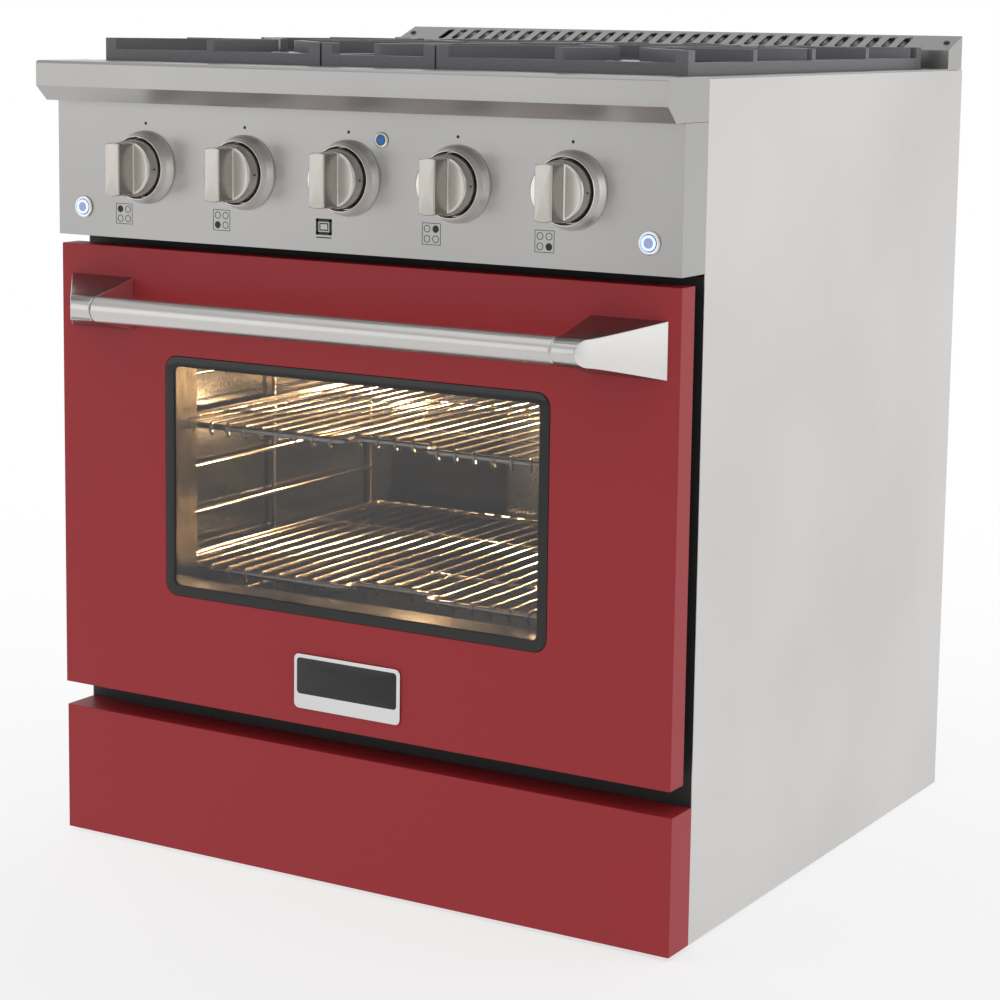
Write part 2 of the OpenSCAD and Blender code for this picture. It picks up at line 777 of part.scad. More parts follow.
module door_liner() {
    wall = liner_plate_t;
    tunnel_y = door_face + glass_t;
    raised = [oven_x - 15, oven_low + 30, oven_top - 12];
    place("dimgray") difference() {
        union() {
            box([-door_x + 2, liner_y, hinge_z + 14], [door_x - 2, liner_back, door_top - 2]);
            box([-hinge_x + 17, liner_y, hinge_z + 2], [hinge_x - 17, liner_back, hinge_z + 15]);
            box([-raised[0], liner_y, raised[1]], [raised[0], -6, raised[2]]);
            // frame of the window, from the outer glass through the door
            box([-see_w / 2 - wall, tunnel_y, window_z - see_h / 2 - wall],
                [see_w / 2 + wall, -7, window_z + see_h / 2 + wall]);
        }
        // hollow of the raised middle, open to the inside of the door
        difference() {
            box([-raised[0] + wall, liner_y - 1, raised[1] + wall],
                [raised[0] - wall, -6 - wall, raised[2] - wall]);
            box([-see_w / 2 - wall, liner_y - 2, window_z - see_h / 2 - wall],
                [see_w / 2 + wall, -6 - wall, window_z + see_h / 2 + wall]);
        }
        box([-see_w / 2, tunnel_y - 1, window_z - see_h / 2], [see_w / 2, 1, window_z + see_h / 2]);
    }
}

module door_gasket() {
    w = gasket_out[0];
    z0 = gasket_out[1];
    z1 = gasket_out[2];
    place("dimgray") upright(-seat, -liner_back - 2 * seat) translate([0, (z0 + z1) / 2]) difference() {
        round_rect(2 * w, z1 - z0, 22);
        round_rect(2 * w - 2 * gasket_w, z1 - z0 - 2 * gasket_w, 12);
    }
}

module handle_tube() {
    place("silver") difference() {
        bar_x(-handle_l / 2, handle_l / 2, handle_y, handle_z, handle_d);
        bar_x(-handle_l / 2 - 1, handle_l / 2 + 1, handle_y, handle_z, handle_d - 4);
    }
}

module handle_brackets() {
    foot_w = 85;
    foot_h = 57;
    x_in = handle_l / 2 + seat;
    place("silver") for (s = hand) mirror([s < 0 ? 1 : 0, 0, 0]) hull() {
        bar_x(x_in, handle_l / 2 + 27, handle_y, handle_z, handle_d, $fn = 32);
        upright(door_face - seat, 1.5) translate([x_in + foot_w / 2, handle_z])
            round_rect(foot_w, foot_h, 5, $fn = 32);
    }
}

module door_badge() {
    place("black") upright(door_face - seat, 2) translate([0, door_z + 47.5]) round_rect(133, 59, 5);
}

module hinge_arms() {
    place("silver") for (s = hand) difference() {
        union() {
            bar_x(s * hinge_x - ear_gap / 2 + 0.5, s * hinge_x + ear_gap / 2 - 0.5, hinge_y, hinge_z,
                hinge_pin_d + 7);
            box([s * hinge_x - 5, hinge_y - 5, hinge_z + 3], [s * hinge_x + 5, hinge_y - 0.5, hinge_z + 120]);
            box([s * hinge_x - 5, hinge_y - 1, hinge_z + 30], [s * hinge_x + 5, hinge_y, hinge_z + 110]);
        }
        bar_x(s * hinge_x - 9, s * hinge_x + 9, hinge_y, hinge_z, hinge_pin_d + 2 * run);
    }
}

module hinge_receivers() {
    place("gainsboro") for (s = hand) {
        box([s * hinge_x - 11, -2 - seat, hinge_z - 20], [s * hinge_x + 11, -seat, hinge_z + 30]);
        for (e = hand) {
            x0 = s * hinge_x + e * (ear_gap + ear_t) / 2 - ear_t / 2;
            bar_x(x0, x0 + ear_t, hinge_y, hinge_z, hinge_pin_d + 6);
            box([x0, hinge_y, hinge_z - (hinge_pin_d + 6) / 2],
                [x0 + ear_t, -1, hinge_z + (hinge_pin_d + 6) / 2]);
        }
        bar_x(s * hinge_x - ear_gap / 2 - ear_t, s * hinge_x + ear_gap / 2 + ear_t, hinge_y, hinge_z,
            hinge_pin_d);
    }
}

side_panel(-1);  // left_side_panel
side_panel(1);  // right_side_panel
rear_panel();
base_pan();
front_frame();
kick_panel();
control_panel();
front_trim();
cooktop();
vent_guard();
oven_liner();
oven_insulation();
rack_guides();
oven_floor();
bake_burner();
broil_burner();
fan_cover();
fan_motor();
fan_blade();
gas_manifold();
gas_regulator();
valve_bodies();
burner_bases();
burner_caps();
igniters();
oven_lamp();
indicator_lamp();
control_bezels();
hinge_receivers();
door_gasket();
casing_screws();
valve_plug(0);  // valve_plug_1
valve_plug(1);  // valve_plug_2
valve_plug(2);  // valve_plug_3
valve_plug(3);  // valve_plug_4
valve_plug(4);  // valve_plug_5
knob(0);  // knob_1
knob(1);  // knob_2
knob(2);  // knob_3
knob(3);  // knob_4
knob(4);  // knob_5
push_button(-1);  // left_button
push_button(1);  // right_button
side_grate(-1);  // left_grate
middle_grate();
side_grate(1);  // right_grate
rack(rack_z[0]);  // lower_rack
rack(rack_z[1]);  // upper_rack
foot(-1, 0);  // foot_front_left
foot(1, 0);  // foot_front_right
foot(-1, 1);  // foot_rear_left
foot(1, 1);  // foot_rear_right
door_skin();
door_outer_glass();
door_inner_glass();
door_liner();
handle_tube();
handle_brackets();
door_badge();
hinge_arms();
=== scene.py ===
"""The looks of a freestanding gas range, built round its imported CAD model."""
import math

import bmesh
import bpy
import numpy as np
from bpy.props import FloatProperty, FloatVectorProperty, IntProperty, PointerProperty
from mathutils import Matrix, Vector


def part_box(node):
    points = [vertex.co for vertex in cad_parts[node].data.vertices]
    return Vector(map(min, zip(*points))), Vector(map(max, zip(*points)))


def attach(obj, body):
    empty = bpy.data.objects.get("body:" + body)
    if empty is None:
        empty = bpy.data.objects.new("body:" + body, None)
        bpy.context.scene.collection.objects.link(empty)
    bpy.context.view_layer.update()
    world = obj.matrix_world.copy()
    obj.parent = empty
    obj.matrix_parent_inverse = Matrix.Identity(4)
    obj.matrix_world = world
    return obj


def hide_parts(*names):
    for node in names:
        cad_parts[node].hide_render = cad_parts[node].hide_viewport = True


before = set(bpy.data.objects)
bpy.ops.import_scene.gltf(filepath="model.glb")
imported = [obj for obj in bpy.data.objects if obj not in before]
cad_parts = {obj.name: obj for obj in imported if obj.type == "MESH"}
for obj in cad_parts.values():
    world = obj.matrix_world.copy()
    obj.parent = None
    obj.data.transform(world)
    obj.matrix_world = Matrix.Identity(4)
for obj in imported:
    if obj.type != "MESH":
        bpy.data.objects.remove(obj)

bl_info = {
    "name": "Gas Range Looks",
    "version": (1, 0, 0),
    "blender": (4, 5, 0),
    "location": "View3D > Sidebar > Range",
    "description": "Builds the visible pieces, finishes and stage of a freestanding gas range",
    "category": "Object",
}

RANGE = "range"
X = np.array((1.0, 0.0, 0.0))
Y = np.array((0.0, 1.0, 0.0))
Z = np.array((0.0, 0.0, 1.0))
KNOBS = range(1, 6)

# how far a turned ring stands off the sheet behind it
STAND_OFF = 0.0002

# on a copied CAD piece, points nearer than this become one
MERGE = 2e-6

# degrees: a flatter turn than the first is no edge, and a sharper one than the second stays an edge
FLAT = 0.5
CREASE = 40.0

# turns of the camera in degrees: round the vertical, up or down, and about its own line of sight
YAW, PITCH, ROLL = 30.846, -8.132, 0.801
EYE = (1.47614, -2.48551, 0.92183)
LENS = 93.007
SENSOR = 36.0
RISE = -0.12

# soft lights: name, place, the point that it looks at, and its width and height
SOFT_LIGHTS = (
    ("key", (-2.6, -3.4, 1.3), (0.0, -0.3, 0.5), (3.4, 2.2)),
    ("side", (4.5, 1.0, 1.4), (0.38, 0.0, 0.5), (6.4, 3.2)),
    ("top", (0.0, -0.6, 3.2), (0.0, -0.3, 0.0), (4.0, 4.0)),
)

# where the floor starts to glow and where it is all glow, in metres past the range, away from the camera
FADE = (-4.5, 2.0)


def metres(name, default, description, low=0.0, high=3.0):
    """A length setting."""
    return FloatProperty(name=name, default=default, min=low, max=high, description=description,
                         unit="LENGTH", subtype="DISTANCE")


def paint(name, default, description):
    """A linear colour setting."""
    return FloatVectorProperty(name=name, default=default, size=3, min=0.0, max=1.0,
                               description=description, subtype="COLOR")


class RangeSettings(bpy.types.PropertyGroup):
    """Sizes and colours of the visible pieces."""
    edge: metres("Sheet edge", 0.0012, "Radius of the folded edges of the casing")
    door_edge: metres("Door edge", 0.0028, "Radius of the folded edges of the door and kick panel")
    cast_edge: metres("Cast edge", 0.0022, "Radius of the edges of the cast grates")
    skirt_d: metres("Knob skirt", 0.062, "Diameter of a knob's skirt")
    blade_w: metres("Knob blade", 0.019, "Width of a knob's grip blade")
    bezel_d: metres("Bezel", 0.078, "Diameter of a knob's bezel")
    bezel_up: metres("Bezel reach", 0.0170, "Reach of a bezel's rim before the control panel")
    knob_face: metres("Knob face", 0.0330, "Reach of a knob's round face before the control panel")
    knob_top: metres("Knob top", 0.0570, "Reach of a knob's grip blade before the control panel")
    ring_d: metres("Button ring", 0.0235, "Diameter of the ring round a push button")
    mark: metres("Burner mark", 0.022, "Side of the burner mark under a knob")
    border: metres("Glass border", 0.011, "Width of the dark border printed on the door glass")
    tube_d: metres("Handle tube", 0.028, "Diameter of the handle tube")
    wire_d: metres("Rack wire", 0.0038, "Diameter of the fine rack wires")
    rail_d: metres("Rack rail", 0.0068, "Diameter of a rack's outer wire")
    wire_gap: metres("Rack wire gap", 0.0225, "Distance between the fine rack wires")
    glow: FloatProperty(name="Oven glow", default=5.2, min=0.0, max=200.0, unit="POWER",
                        description="Power of each lamp in the oven")
    key: FloatProperty(name="Key light", default=0.65, min=0.0, max=20.0,
                       description="Radiance of the soft light before the front")
    side: FloatProperty(name="Side light", default=0.8, min=0.0, max=20.0,
                        description="Radiance of the soft light on the right")
    top: FloatProperty(name="Top light", default=0.45, min=0.0, max=20.0,
                       description="Radiance of the soft light overhead")
    sky: FloatProperty(name="Sky", default=0.6, min=0.0, max=5.0,
                       description="Strength of the plain surroundings")
    segments: IntProperty(name="Turned steps", default=96, min=16, max=256,
                          description="Steps round a turned piece")
    red: paint("Red", (0.325, 0.018, 0.024), "Powder coat of the door and kick panel")
    steel: paint("Stainless", (0.42, 0.415, 0.405), "Brushed front, trim and cooktop")
    casing: paint("Casing", (0.64, 0.625, 0.615), "Satin side panels")
    nickel: paint("Nickel", (0.62, 0.59, 0.55), "Knobs and bezels")
    iron: paint("Iron", (0.135, 0.133, 0.145), "Cast grates")
    enamel: paint("Enamel", (0.028, 0.033, 0.043), "Oven enamel")
    warm: paint("Lamp", (1.0, 0.62, 0.30), "Light of the oven lamps")
    blue: paint("Ring light", (0.34, 0.48, 1.0), "Light of the button rings")


def settings():
    """The settings of this scene."""
    return bpy.context.scene.gas_range


# ---- surfaces ----

def eased(profile, radius, steps=4, closed=False):
    """A profile whose corners are rounded: each corner is swapped for the curve
    (1-t)^2 a + 2 t (1-t) corner + t^2 b, where a and b lie radius away along its two sides."""
    p = np.asarray(profile, float)
    before = np.roll(p, 1, axis=0)
    after = np.roll(p, -1, axis=0)
    toward = before - p
    onward = after - p
    len_a = np.linalg.norm(toward, axis=1, keepdims=True) + 1e-12
    len_b = np.linalg.norm(onward, axis=1, keepdims=True) + 1e-12
    most = 0.45
    a = p + toward * np.minimum(radius, len_a * most) / len_a
    b = p + onward * np.minimum(radius, len_b * most) / len_b
    t = np.linspace(0.0, 1.0, steps)[None, :, None]
    curve = (1 - t) ** 2 * a[:, None] + 2 * t * (1 - t) * p[:, None] + t ** 2 * b[:, None]
    if closed:
        return curve.reshape(-1, p.shape[1])
    return np.concatenate([p[:1], curve[1:-1].reshape(-1, p.shape[1]), p[-1:]])


def turned(profile, centre, axis=-Y, steps=None):
    """Rings of a turned surface: the profile's radius carried round the axis at its reach along it."""
    steps = steps or settings().segments
    u = X if abs(axis[0]) < 0.5 else Y
    v = np.cross(axis, u)
    p = np.asarray(profile, float)
    a = np.linspace(0.0, 2 * math.pi, steps, endpoint=False)
    round_it = np.cos(a)[:, None] * u + np.sin(a)[:, None] * v
    out = p[:, :1, None] * round_it[None]
    along = p[:, 1:2, None] * np.asarray(axis)[None, None]
    return np.asarray(centre) + out + along


def round_loop(width, height, radius, corner=8):
    """Loop of a rectangle with round corners: a quarter circle of the radius about each corner's centre."""
    a = np.linspace(0.0, math.pi / 2, corner)
    turn = np.arange(4)[:, None] * (math.pi / 2) + a[None, :]
    sx = np.array((1, -1, -1, 1))[:, None]
    sz = np.array((1, 1, -1, -1))[:, None]
    u = sx * (width / 2 - radius) + radius * np.cos(turn)
    v = sz * (height / 2 - radius) + radius * np.sin(turn)
    return np.stack([u.ravel(), v.ravel()], axis=1)


def plate_rings(loop_at, depth, edge, steps=5):
    """Rings of a plate: loop_at(inset) gives its outline, and both faces' edges follow a quarter circle,
    inset = edge (1 - sin t) and level = edge (1 - cos t)."""
    t = np.linspace(0.0, math.pi / 2, steps)
    inset = edge * (1 - np.sin(t))
    level = edge * (1 - np.cos(t))
    insets = np.concatenate([inset, inset[::-1]])
    levels = np.concatenate([level, depth - level[::-1]])
    return lifted(loop_at, insets, levels)


def lifted(loop_at, insets, levels):
    """Rings of a flat outline: the one that loop_at(inset) gives, at each inset and its level."""
    loops = [loop_at(inset) for inset in insets]
    return np.stack([np.column_stack([loop, np.full(len(loop), level)])
                     for loop, level in zip(loops, levels)])


def facing_front(rings, centre):
    """Turns rings drawn as across, up and reach into the range's axes, reach running to the front."""
    across, up, reach = rings[..., 0], rings[..., 1], rings[..., 2]
    return np.stack([centre[0] + across, centre[1] - reach, centre[2] + up], axis=-1)


def swept(path, radius, normal, steps=10, closed=False):
    """Rings of a round wire: at each point of a flat path, the circle of the radius in the plane spanned by
    the path's normal and the cross product of its direction with that normal."""
    p = np.asarray(path, float)
    if closed:
        run = np.roll(p, -1, axis=0) - np.roll(p, 1, axis=0)
    else:
        run = np.gradient(p, axis=0)
    run /= np.linalg.norm(run, axis=1, keepdims=True)
    aside = np.cross(run, normal)
    a = np.linspace(0.0, 2 * math.pi, steps, endpoint=False)
    rings = p[:, None] + radius * (np.cos(a)[None, :, None] * np.asarray(normal)[None, None]
                                   + np.sin(a)[None, :, None] * aside[:, None])
    if closed:
        return np.concatenate([rings, rings[:1]])
    reach, taper = radius * 0.5, 0.6
    tip0 = p[0] - run[0] * reach + (rings[0] - p[0]) * taper
    tip1 = p[-1] + run[-1] * reach + (rings[-1] - p[-1]) * taper
    return np.concatenate([tip0[None], rings, tip1[None]])


class Shells:
    """Gathers surfaces given as rings of points into one mesh."""

    def __init__(self):
        self.points, self.faces, self.marks, self.count = [], [], [], 0

    def add(self, rings, mark=0, caps=(True, True)):
        """Adds rings (rows, steps, 3) joined by quads, with a fan over each end that is capped."""
        rows, steps = rings.shape[:2]
        r = np.arange(rows - 1)[:, None] * steps
        c = np.arange(steps)[None, :]
        n = (c + 1) % steps
        quads = np.stack([r + c, r + n, r + steps + n, r + steps + c], axis=-1).reshape(-1, 4) + self.count
        self.faces += quads.tolist()
        self.points.append(rings.reshape(-1, 3))
        added = len(quads)
        base = self.count
        self.count += rows * steps
        for row, wanted in ((0, caps[0]), (rows - 1, caps[1])):
            if wanted:
                self.points.append(rings[row].mean(axis=0)[None])
                first = base + row * steps
                ring = first + np.arange(steps)
                self.faces += np.stack([ring, first + (np.arange(steps) + 1) % steps,
                                        np.full(steps, self.count)], axis=-1).tolist()
                self.count += 1
                added += steps
        self.marks += [mark] * added
        return self

    def made(self, name, materials, body, replaces=(), slot=None, crease=32.0):
        """The gathered surfaces as one object that rides on a body."""
        mesh = bpy.data.meshes.new(name)
        mesh.from_pydata(np.concatenate(self.points).tolist(), [], self.faces)
        for m in materials:
            mesh.materials.append(m)
        mesh.polygons.foreach_set("material_index", np.array(self.marks, dtype=np.int32))
        bm = bmesh.new()
        bm.from_mesh(mesh)
        bmesh.ops.recalc_face_normals(bm, faces=bm.faces)
        bm.to_mesh(mesh)
        bm.free()
        mesh.shade_smooth()
        mesh.set_sharp_from_angle(angle=math.radians(crease))
        return placed(name, mesh, body, replaces)


def placed(name, mesh, body, replaces=()):
    """Puts a finished mesh into the scene on its body."""
    obj = bpy.data.objects.new(name, mesh)
    bpy.context.scene.collection.objects.link(obj)
    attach(obj, body)
    if replaces:
        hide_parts(*replaces)
    return obj


def softened(node, width, finish, body=RANGE, segments=3, angle=30.0):
    """A merged copy of a CAD node with its edges rounded by a bevel."""
    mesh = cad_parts[node].data.copy()
    if "custom_normal" in mesh.attributes:
        mesh.attributes.remove(mesh.attributes["custom_normal"])
    bm = bmesh.new()
    bm.from_mesh(mesh)
    bmesh.ops.remove_doubles(bm, verts=bm.verts, dist=MERGE)
    bmesh.ops.join_triangles(bm, faces=bm.faces, angle_face_threshold=math.radians(FLAT),
                             angle_shape_threshold=math.pi)
    bm.to_mesh(mesh)
    bm.free()
    mesh.materials.clear()
    mesh.materials.append(finish)
    mesh.shade_smooth()
    mesh.set_sharp_from_angle(angle=math.radians(CREASE))
    obj = placed(node + "_soft", mesh, body, (node,))
    bevel = obj.modifiers.new("Soft edges", "BEVEL")
    bevel.width = width
    bevel.segments = segments
    bevel.limit_method = "ANGLE"
    bevel.angle_limit = math.radians(angle)
    bevel.harden_normals = True
    return obj


def polygon_values(mesh, name):
    """The centres or normals of a mesh's polygons, one row each."""
    values = np.empty(len(mesh.polygons) * 3)
    mesh.polygons.foreach_get(name, values)
    return values.reshape(-1, 3)


def dressed(node, finish):
    """Gives a CAD node its finish."""
    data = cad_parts[node].data
    data.materials.clear()
    data.materials.append(finish)


# ---- finishes ----

class Finish:
    """A material and the shader graph that it is built from."""

    def __init__(self, name):
        self.material = bpy.data.materials.new(name)
        self.material.use_nodes = True
        self.tree = self.material.node_tree
        self.shader = self.tree.nodes["Principled BSDF"]

    def set(self, **values):
        """Sets constants on the shader, such as Base_Color=(r, g, b)."""
        for key, value in values.items():
            socket = self.shader.inputs[key.replace("_", " ")]
            socket.default_value = (*value, 1.0) if socket.type == "RGBA" else value
        return self

    def add(self, kind, **values):
        """Adds a node and sets its properties, or its inputs where the name starts with in_."""
        made = self.tree.nodes.new(kind)
        for key, value in values.items():
            if key.startswith("in_"):
                made.inputs[key[3:].replace("_", " ")].default_value = value
            else:
                setattr(made, key, value)
        return made

    def link(self, a, out, b, into):
        """Joins an output to an input."""
        self.tree.links.new(a.outputs[out], b.inputs[into])

    def noise(self, stretch, scale=1.0, detail=3.0):
        """Noise over the object's own axes, stretched along each."""
        coords = self.add("ShaderNodeTexCoord")
        mapping = self.add("ShaderNodeMapping")
        mapping.inputs["Scale"].default_value = stretch
        noise = self.add("ShaderNodeTexNoise", in_Scale=scale, in_Detail=detail)
        self.link(coords, "Object", mapping, "Vector")
        self.link(mapping, "Vector", noise, "Vector")
        return noise

    def spread(self, noise, low, high, into):
        """Maps noise to a range of values on one of the shader's inputs."""
        span = self.add("ShaderNodeMapRange", in_To_Min=low, in_To_Max=high)
        low_noise, high_noise = 0.3, 0.7
        span.inputs["From Min"].default_value = low_noise
        span.inputs["From Max"].default_value = high_noise
        self.link(noise, "Fac", span, "Value")
        self.link(span, "Result", self.shader, into)
        return self

    def tint(self, noise, dark, light, low=0.35, high=0.65):
        """Mixes two colours by noise."""
        ramp = self.add("ShaderNodeValToRGB")
        ramp.color_ramp.elements[0].position = low
        ramp.color_ramp.elements[0].color = (*dark, 1.0)
        ramp.color_ramp.elements[1].position = high
        ramp.color_ramp.elements[1].color = (*light, 1.0)
        self.link(noise, "Fac", ramp, "Fac")
        self.link(ramp, "Color", self.shader, "Base Color")
        return self

    def bump(self, noise, strength, distance):
        """Raises the surface by noise."""
        bump = self.add("ShaderNodeBump", in_Strength=strength, in_Distance=distance)
        self.link(noise, "Fac", bump, "Height")
        self.link(bump, "Normal", self.shader, "Normal")
        return self


def scaled(colour, factor):
    """A colour made lighter or darker."""
    return tuple(min(1.0, c * factor) for c in colour)


def brushed(name, colour, grain, roughness, mottle=0.05, depth=0.00002, streak=0.04):
    """Brushed metal: lines of noise drawn out along the grain, and a faint slow mottle."""
    f = Finish(name).set(Metallic=1.0, Base_Color=colour, Roughness=roughness)
    lines = f.noise(grain, 1.0, 2.0)
    slow = f.noise((3.0, 3.0, 3.0), 1.0, 2.0)
    f.spread(lines, roughness - streak, roughness + streak, "Roughness")
    f.tint(slow, scaled(colour, 1 - mottle), scaled(colour, 1 + mottle))
    return f.bump(lines, 0.10, depth).material


def fine_brushed(name, colour, grain, roughness, mottle=0.02, streak=0.015):
    """Metal with a shallow brushing and a faint mottle."""
    return brushed(name, colour, grain, roughness, mottle, 0.00001, streak)


def speckled(name, colour, roughness, grain, depth, coat=0.0, metallic=0.0, spread=0.12, shine=0.5):
    """A painted or cast surface with a fine even roughness."""
    f = Finish(name).set(Metallic=metallic, Roughness=roughness, Coat_Weight=coat, Coat_Roughness=0.12,
                         Specular_IOR_Level=shine)
    fine = f.noise((1.0, 1.0, 1.0), grain, 3.0)
    f.tint(fine, scaled(colour, 1 - spread), scaled(colour, 1 + spread))
    return f.bump(fine, 0.4, depth).material


def glowing(name, colour, strength):
    """A lit lens whose light swells a little across its face."""
    f = Finish(name).set(Base_Color=colour, Emission_Color=colour, Roughness=0.3)
    return f.spread(f.noise((60.0, 60.0, 60.0)), strength * 0.9, strength * 1.1, "Emission Strength").material


def glass(name, colour, alpha):
    """See-through glass, thinned by its alpha, with faint unevenness in its gloss."""
    f = Finish(name).set(Base_Color=colour, Roughness=0.03, Alpha=alpha, IOR=1.5)
    return f.spread(f.noise((4.0, 4.0, 4.0)), 0.015, 0.05, "Roughness").material


# grains of brushed metal: how many lines to the metre along x, y and z
UPRIGHT = (320.0, 320.0, 3.0)
ACROSS_SHEET = (1.5, 900.0, 900.0)
ALONG_BAR = (3.0, 500.0, 500.0)
ALONG_FOOT = (500.0, 3.0, 500.0)
DOWN_KNOB = (500.0, 500.0, 30.0)
ROUND_KNOB = (700.0, 700.0, 60.0)
DOWN_STEM = (200.0, 200.0, 40.0)

ZINC = (0.42, 0.43, 0.44)

# a name, and how the settings and the material's full name make the finish
FINISHES = {
    "casing_steel": lambda s, n: fine_brushed(n, s.casing, UPRIGHT, 0.42, mottle=0.045, streak=0.022),
    "zinc_sheet": lambda s, n: speckled(n, ZINC, 0.42, 60.0, 0.00002, metallic=1.0, spread=0.06),
    "red_powder_coat": lambda s, n: speckled(n, s.red, 0.46, 1100.0, 0.00004, spread=0.03, shine=0.35),
    "brushed_stainless": lambda s, n: brushed(n, s.steel, ACROSS_SHEET, 0.30, depth=0.000006, streak=0.022),
    "satin_nickel": lambda s, n: fine_brushed(n, s.nickel, ROUND_KNOB, 0.30, mottle=0.03),
    "nickel_face": lambda s, n: fine_brushed(n, scaled(s.nickel, 0.86), DOWN_KNOB, 0.27),
    # painted light on the knob's round face and painted shade on its blade's sides: lighter and darker copies
    # of one nickel
    "nickel_painted_light": lambda s, n: fine_brushed(n, scaled(s.nickel, 1.45), DOWN_KNOB, 0.40),
    "nickel_painted_shade": lambda s, n: fine_brushed(n, scaled(s.nickel, 0.62), DOWN_KNOB, 0.28),
    "bezel_satin": lambda s, n: fine_brushed(n, (0.84, 0.825, 0.80), ROUND_KNOB, 0.34),
    # painted highlight: a lighter copy of the bezel finish for the faces that catch the light
    "bezel_painted_highlight": lambda s, n: fine_brushed(n, (1.0, 0.985, 0.96), ROUND_KNOB, 0.34),
    "handle_satin": lambda s, n: fine_brushed(n, (0.60, 0.585, 0.57), ALONG_BAR, 0.29, streak=0.02),
    # painted highlight on the sides and painted shade on the top and bottom of the handle's feet: lighter and
    # darker copies of one satin steel
    "foot_painted_highlight": lambda s, n: fine_brushed(n, (0.80, 0.785, 0.765), ALONG_FOOT, 0.30),
    "foot_painted_shade": lambda s, n: fine_brushed(n, (0.30, 0.29, 0.285), ALONG_BAR, 0.26),
    "polished_strip": lambda s, n: brushed(n, (0.74, 0.70, 0.62), (4.0, 300.0, 300.0), 0.16, mottle=0.02),
    "badge_rim": lambda s, n: brushed(n, (0.72, 0.72, 0.72), (300.0, 300.0, 300.0), 0.22),
    "chrome_wire": lambda s, n: brushed(n, (0.80, 0.77, 0.72), (300.0, 40.0, 300.0), 0.17, mottle=0.04),
    "brass": lambda s, n: brushed(n, (0.56, 0.36, 0.12), DOWN_STEM, 0.30),
    "zinc_foot": lambda s, n: brushed(n, (0.40, 0.40, 0.41), (200.0, 200.0, 20.0), 0.38),
    "black_enamel": lambda s, n: speckled(n, (0.012, 0.012, 0.013), 0.22, 200.0, 0.00001),
    "oven_enamel": lambda s, n: speckled(n, s.enamel, 0.22, 420.0, 0.00003, coat=0.8, spread=0.35),
    "cast_iron": lambda s, n: speckled(n, s.iron, 0.37, 420.0, 0.00006, spread=0.06),
    "burner_alloy": lambda s, n: speckled(n, (0.48, 0.48, 0.47), 0.45, 300.0, 0.00008, metallic=1.0),
    "ceramic": lambda s, n: speckled(n, (0.80, 0.77, 0.70), 0.18, 150.0, 0.00001, spread=0.04),
    "mineral_wool": lambda s, n: speckled(n, (0.50, 0.43, 0.22), 0.95, 260.0, 0.0012),
    "gasket_fibre": lambda s, n: speckled(n, (0.025, 0.025, 0.027), 0.9, 700.0, 0.0004),
    "badge_plate": lambda s, n: speckled(n, (0.008, 0.008, 0.009), 0.25, 300.0, 0.00001),
    "dark_motor": lambda s, n: speckled(n, (0.03, 0.03, 0.032), 0.5, 250.0, 0.0001),
    "ink": lambda s, n: speckled(n, (0.010, 0.010, 0.010), 0.5, 300.0, 0.00001),
    "border_ink": lambda s, n: speckled(n, (0.006, 0.005, 0.005), 0.10, 40.0, 0.00001),
    # painted shade: near-black for the frame that shows in the gap round the door
    "painted_shade_black": lambda s, n: speckled(n, (0.015, 0.015, 0.016), 0.6, 300.0, 0.00002),
    "tinted_glass": lambda s, n: glass(n, (0.085, 0.100, 0.120), 0.22),
    "clear_glass": lambda s, n: glass(n, (0.030, 0.034, 0.034), 0.10),
    "lamp_glass": lambda s, n: glowing(n, s.warm, 14.0),
    "blue_lens": lambda s, n: glowing(n, (0.02, 0.10, 0.30), 0.45),
    "button_cap": lambda s, n: glowing(n, (0.34, 0.38, 0.60), 0.18),
    "ring_light": lambda s, n: glowing(n, s.blue, 1.7),
}


def finish(name):
    """The finish of that name, built once, beside the plain colours that the model comes with."""
    full = name + "_finish"
    return bpy.data.materials.get(full) or FINISHES[name](settings(), full)


def corners(node):
    """Lowest and highest corner of a CAD node's box."""
    low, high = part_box(node)
    return np.array(low), np.array(high)


def centre_of(node):
    """Middle of a CAD node's box."""
    low, high = corners(node)
    return (low + high) / 2


def face_of(node):
    """Y place of a CAD node's front."""
    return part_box(node)[0][1]


# ---- operators ----

class Piece(bpy.types.Operator):
    """Base of the range's operators."""
    bl_options = {"REGISTER"}

    def execute(self, context):
        self.build(context.scene.gas_range)
        return {"FINISHED"}


class RANGE_OT_casing(Piece):
    """Finish the side panels, kick panel, frame, rear and base"""
    bl_idname = "gas_range.casing"
    bl_label = "Casing"

    def build(self, s):
        for node in ("left_side_panel", "right_side_panel"):
            softened(node, s.edge * 0.5, finish("casing_steel"))
        softened("kick_panel", s.door_edge * 0.5, finish("red_powder_coat"))
        for node in ("rear_panel", "base_pan", "casing_screws", "hinge_receivers"):
            dressed(node, finish("zinc_sheet"))
        # the screws in the vent guard are dark
        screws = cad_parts["casing_screws"].data
        screws.materials.append(finish("ink"))
        high = polygon_values(screws, "center")[:, 2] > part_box("vent_guard")[0][2]
        screws.polygons.foreach_set("material_index", high.astype(np.int32))
        # painted shade: the frame round the oven's opening is made near-black so that the gap round the door
        # reads as shade
        dressed("front_frame", finish("painted_shade_black"))
        dressed("oven_insulation", finish("mineral_wool"))


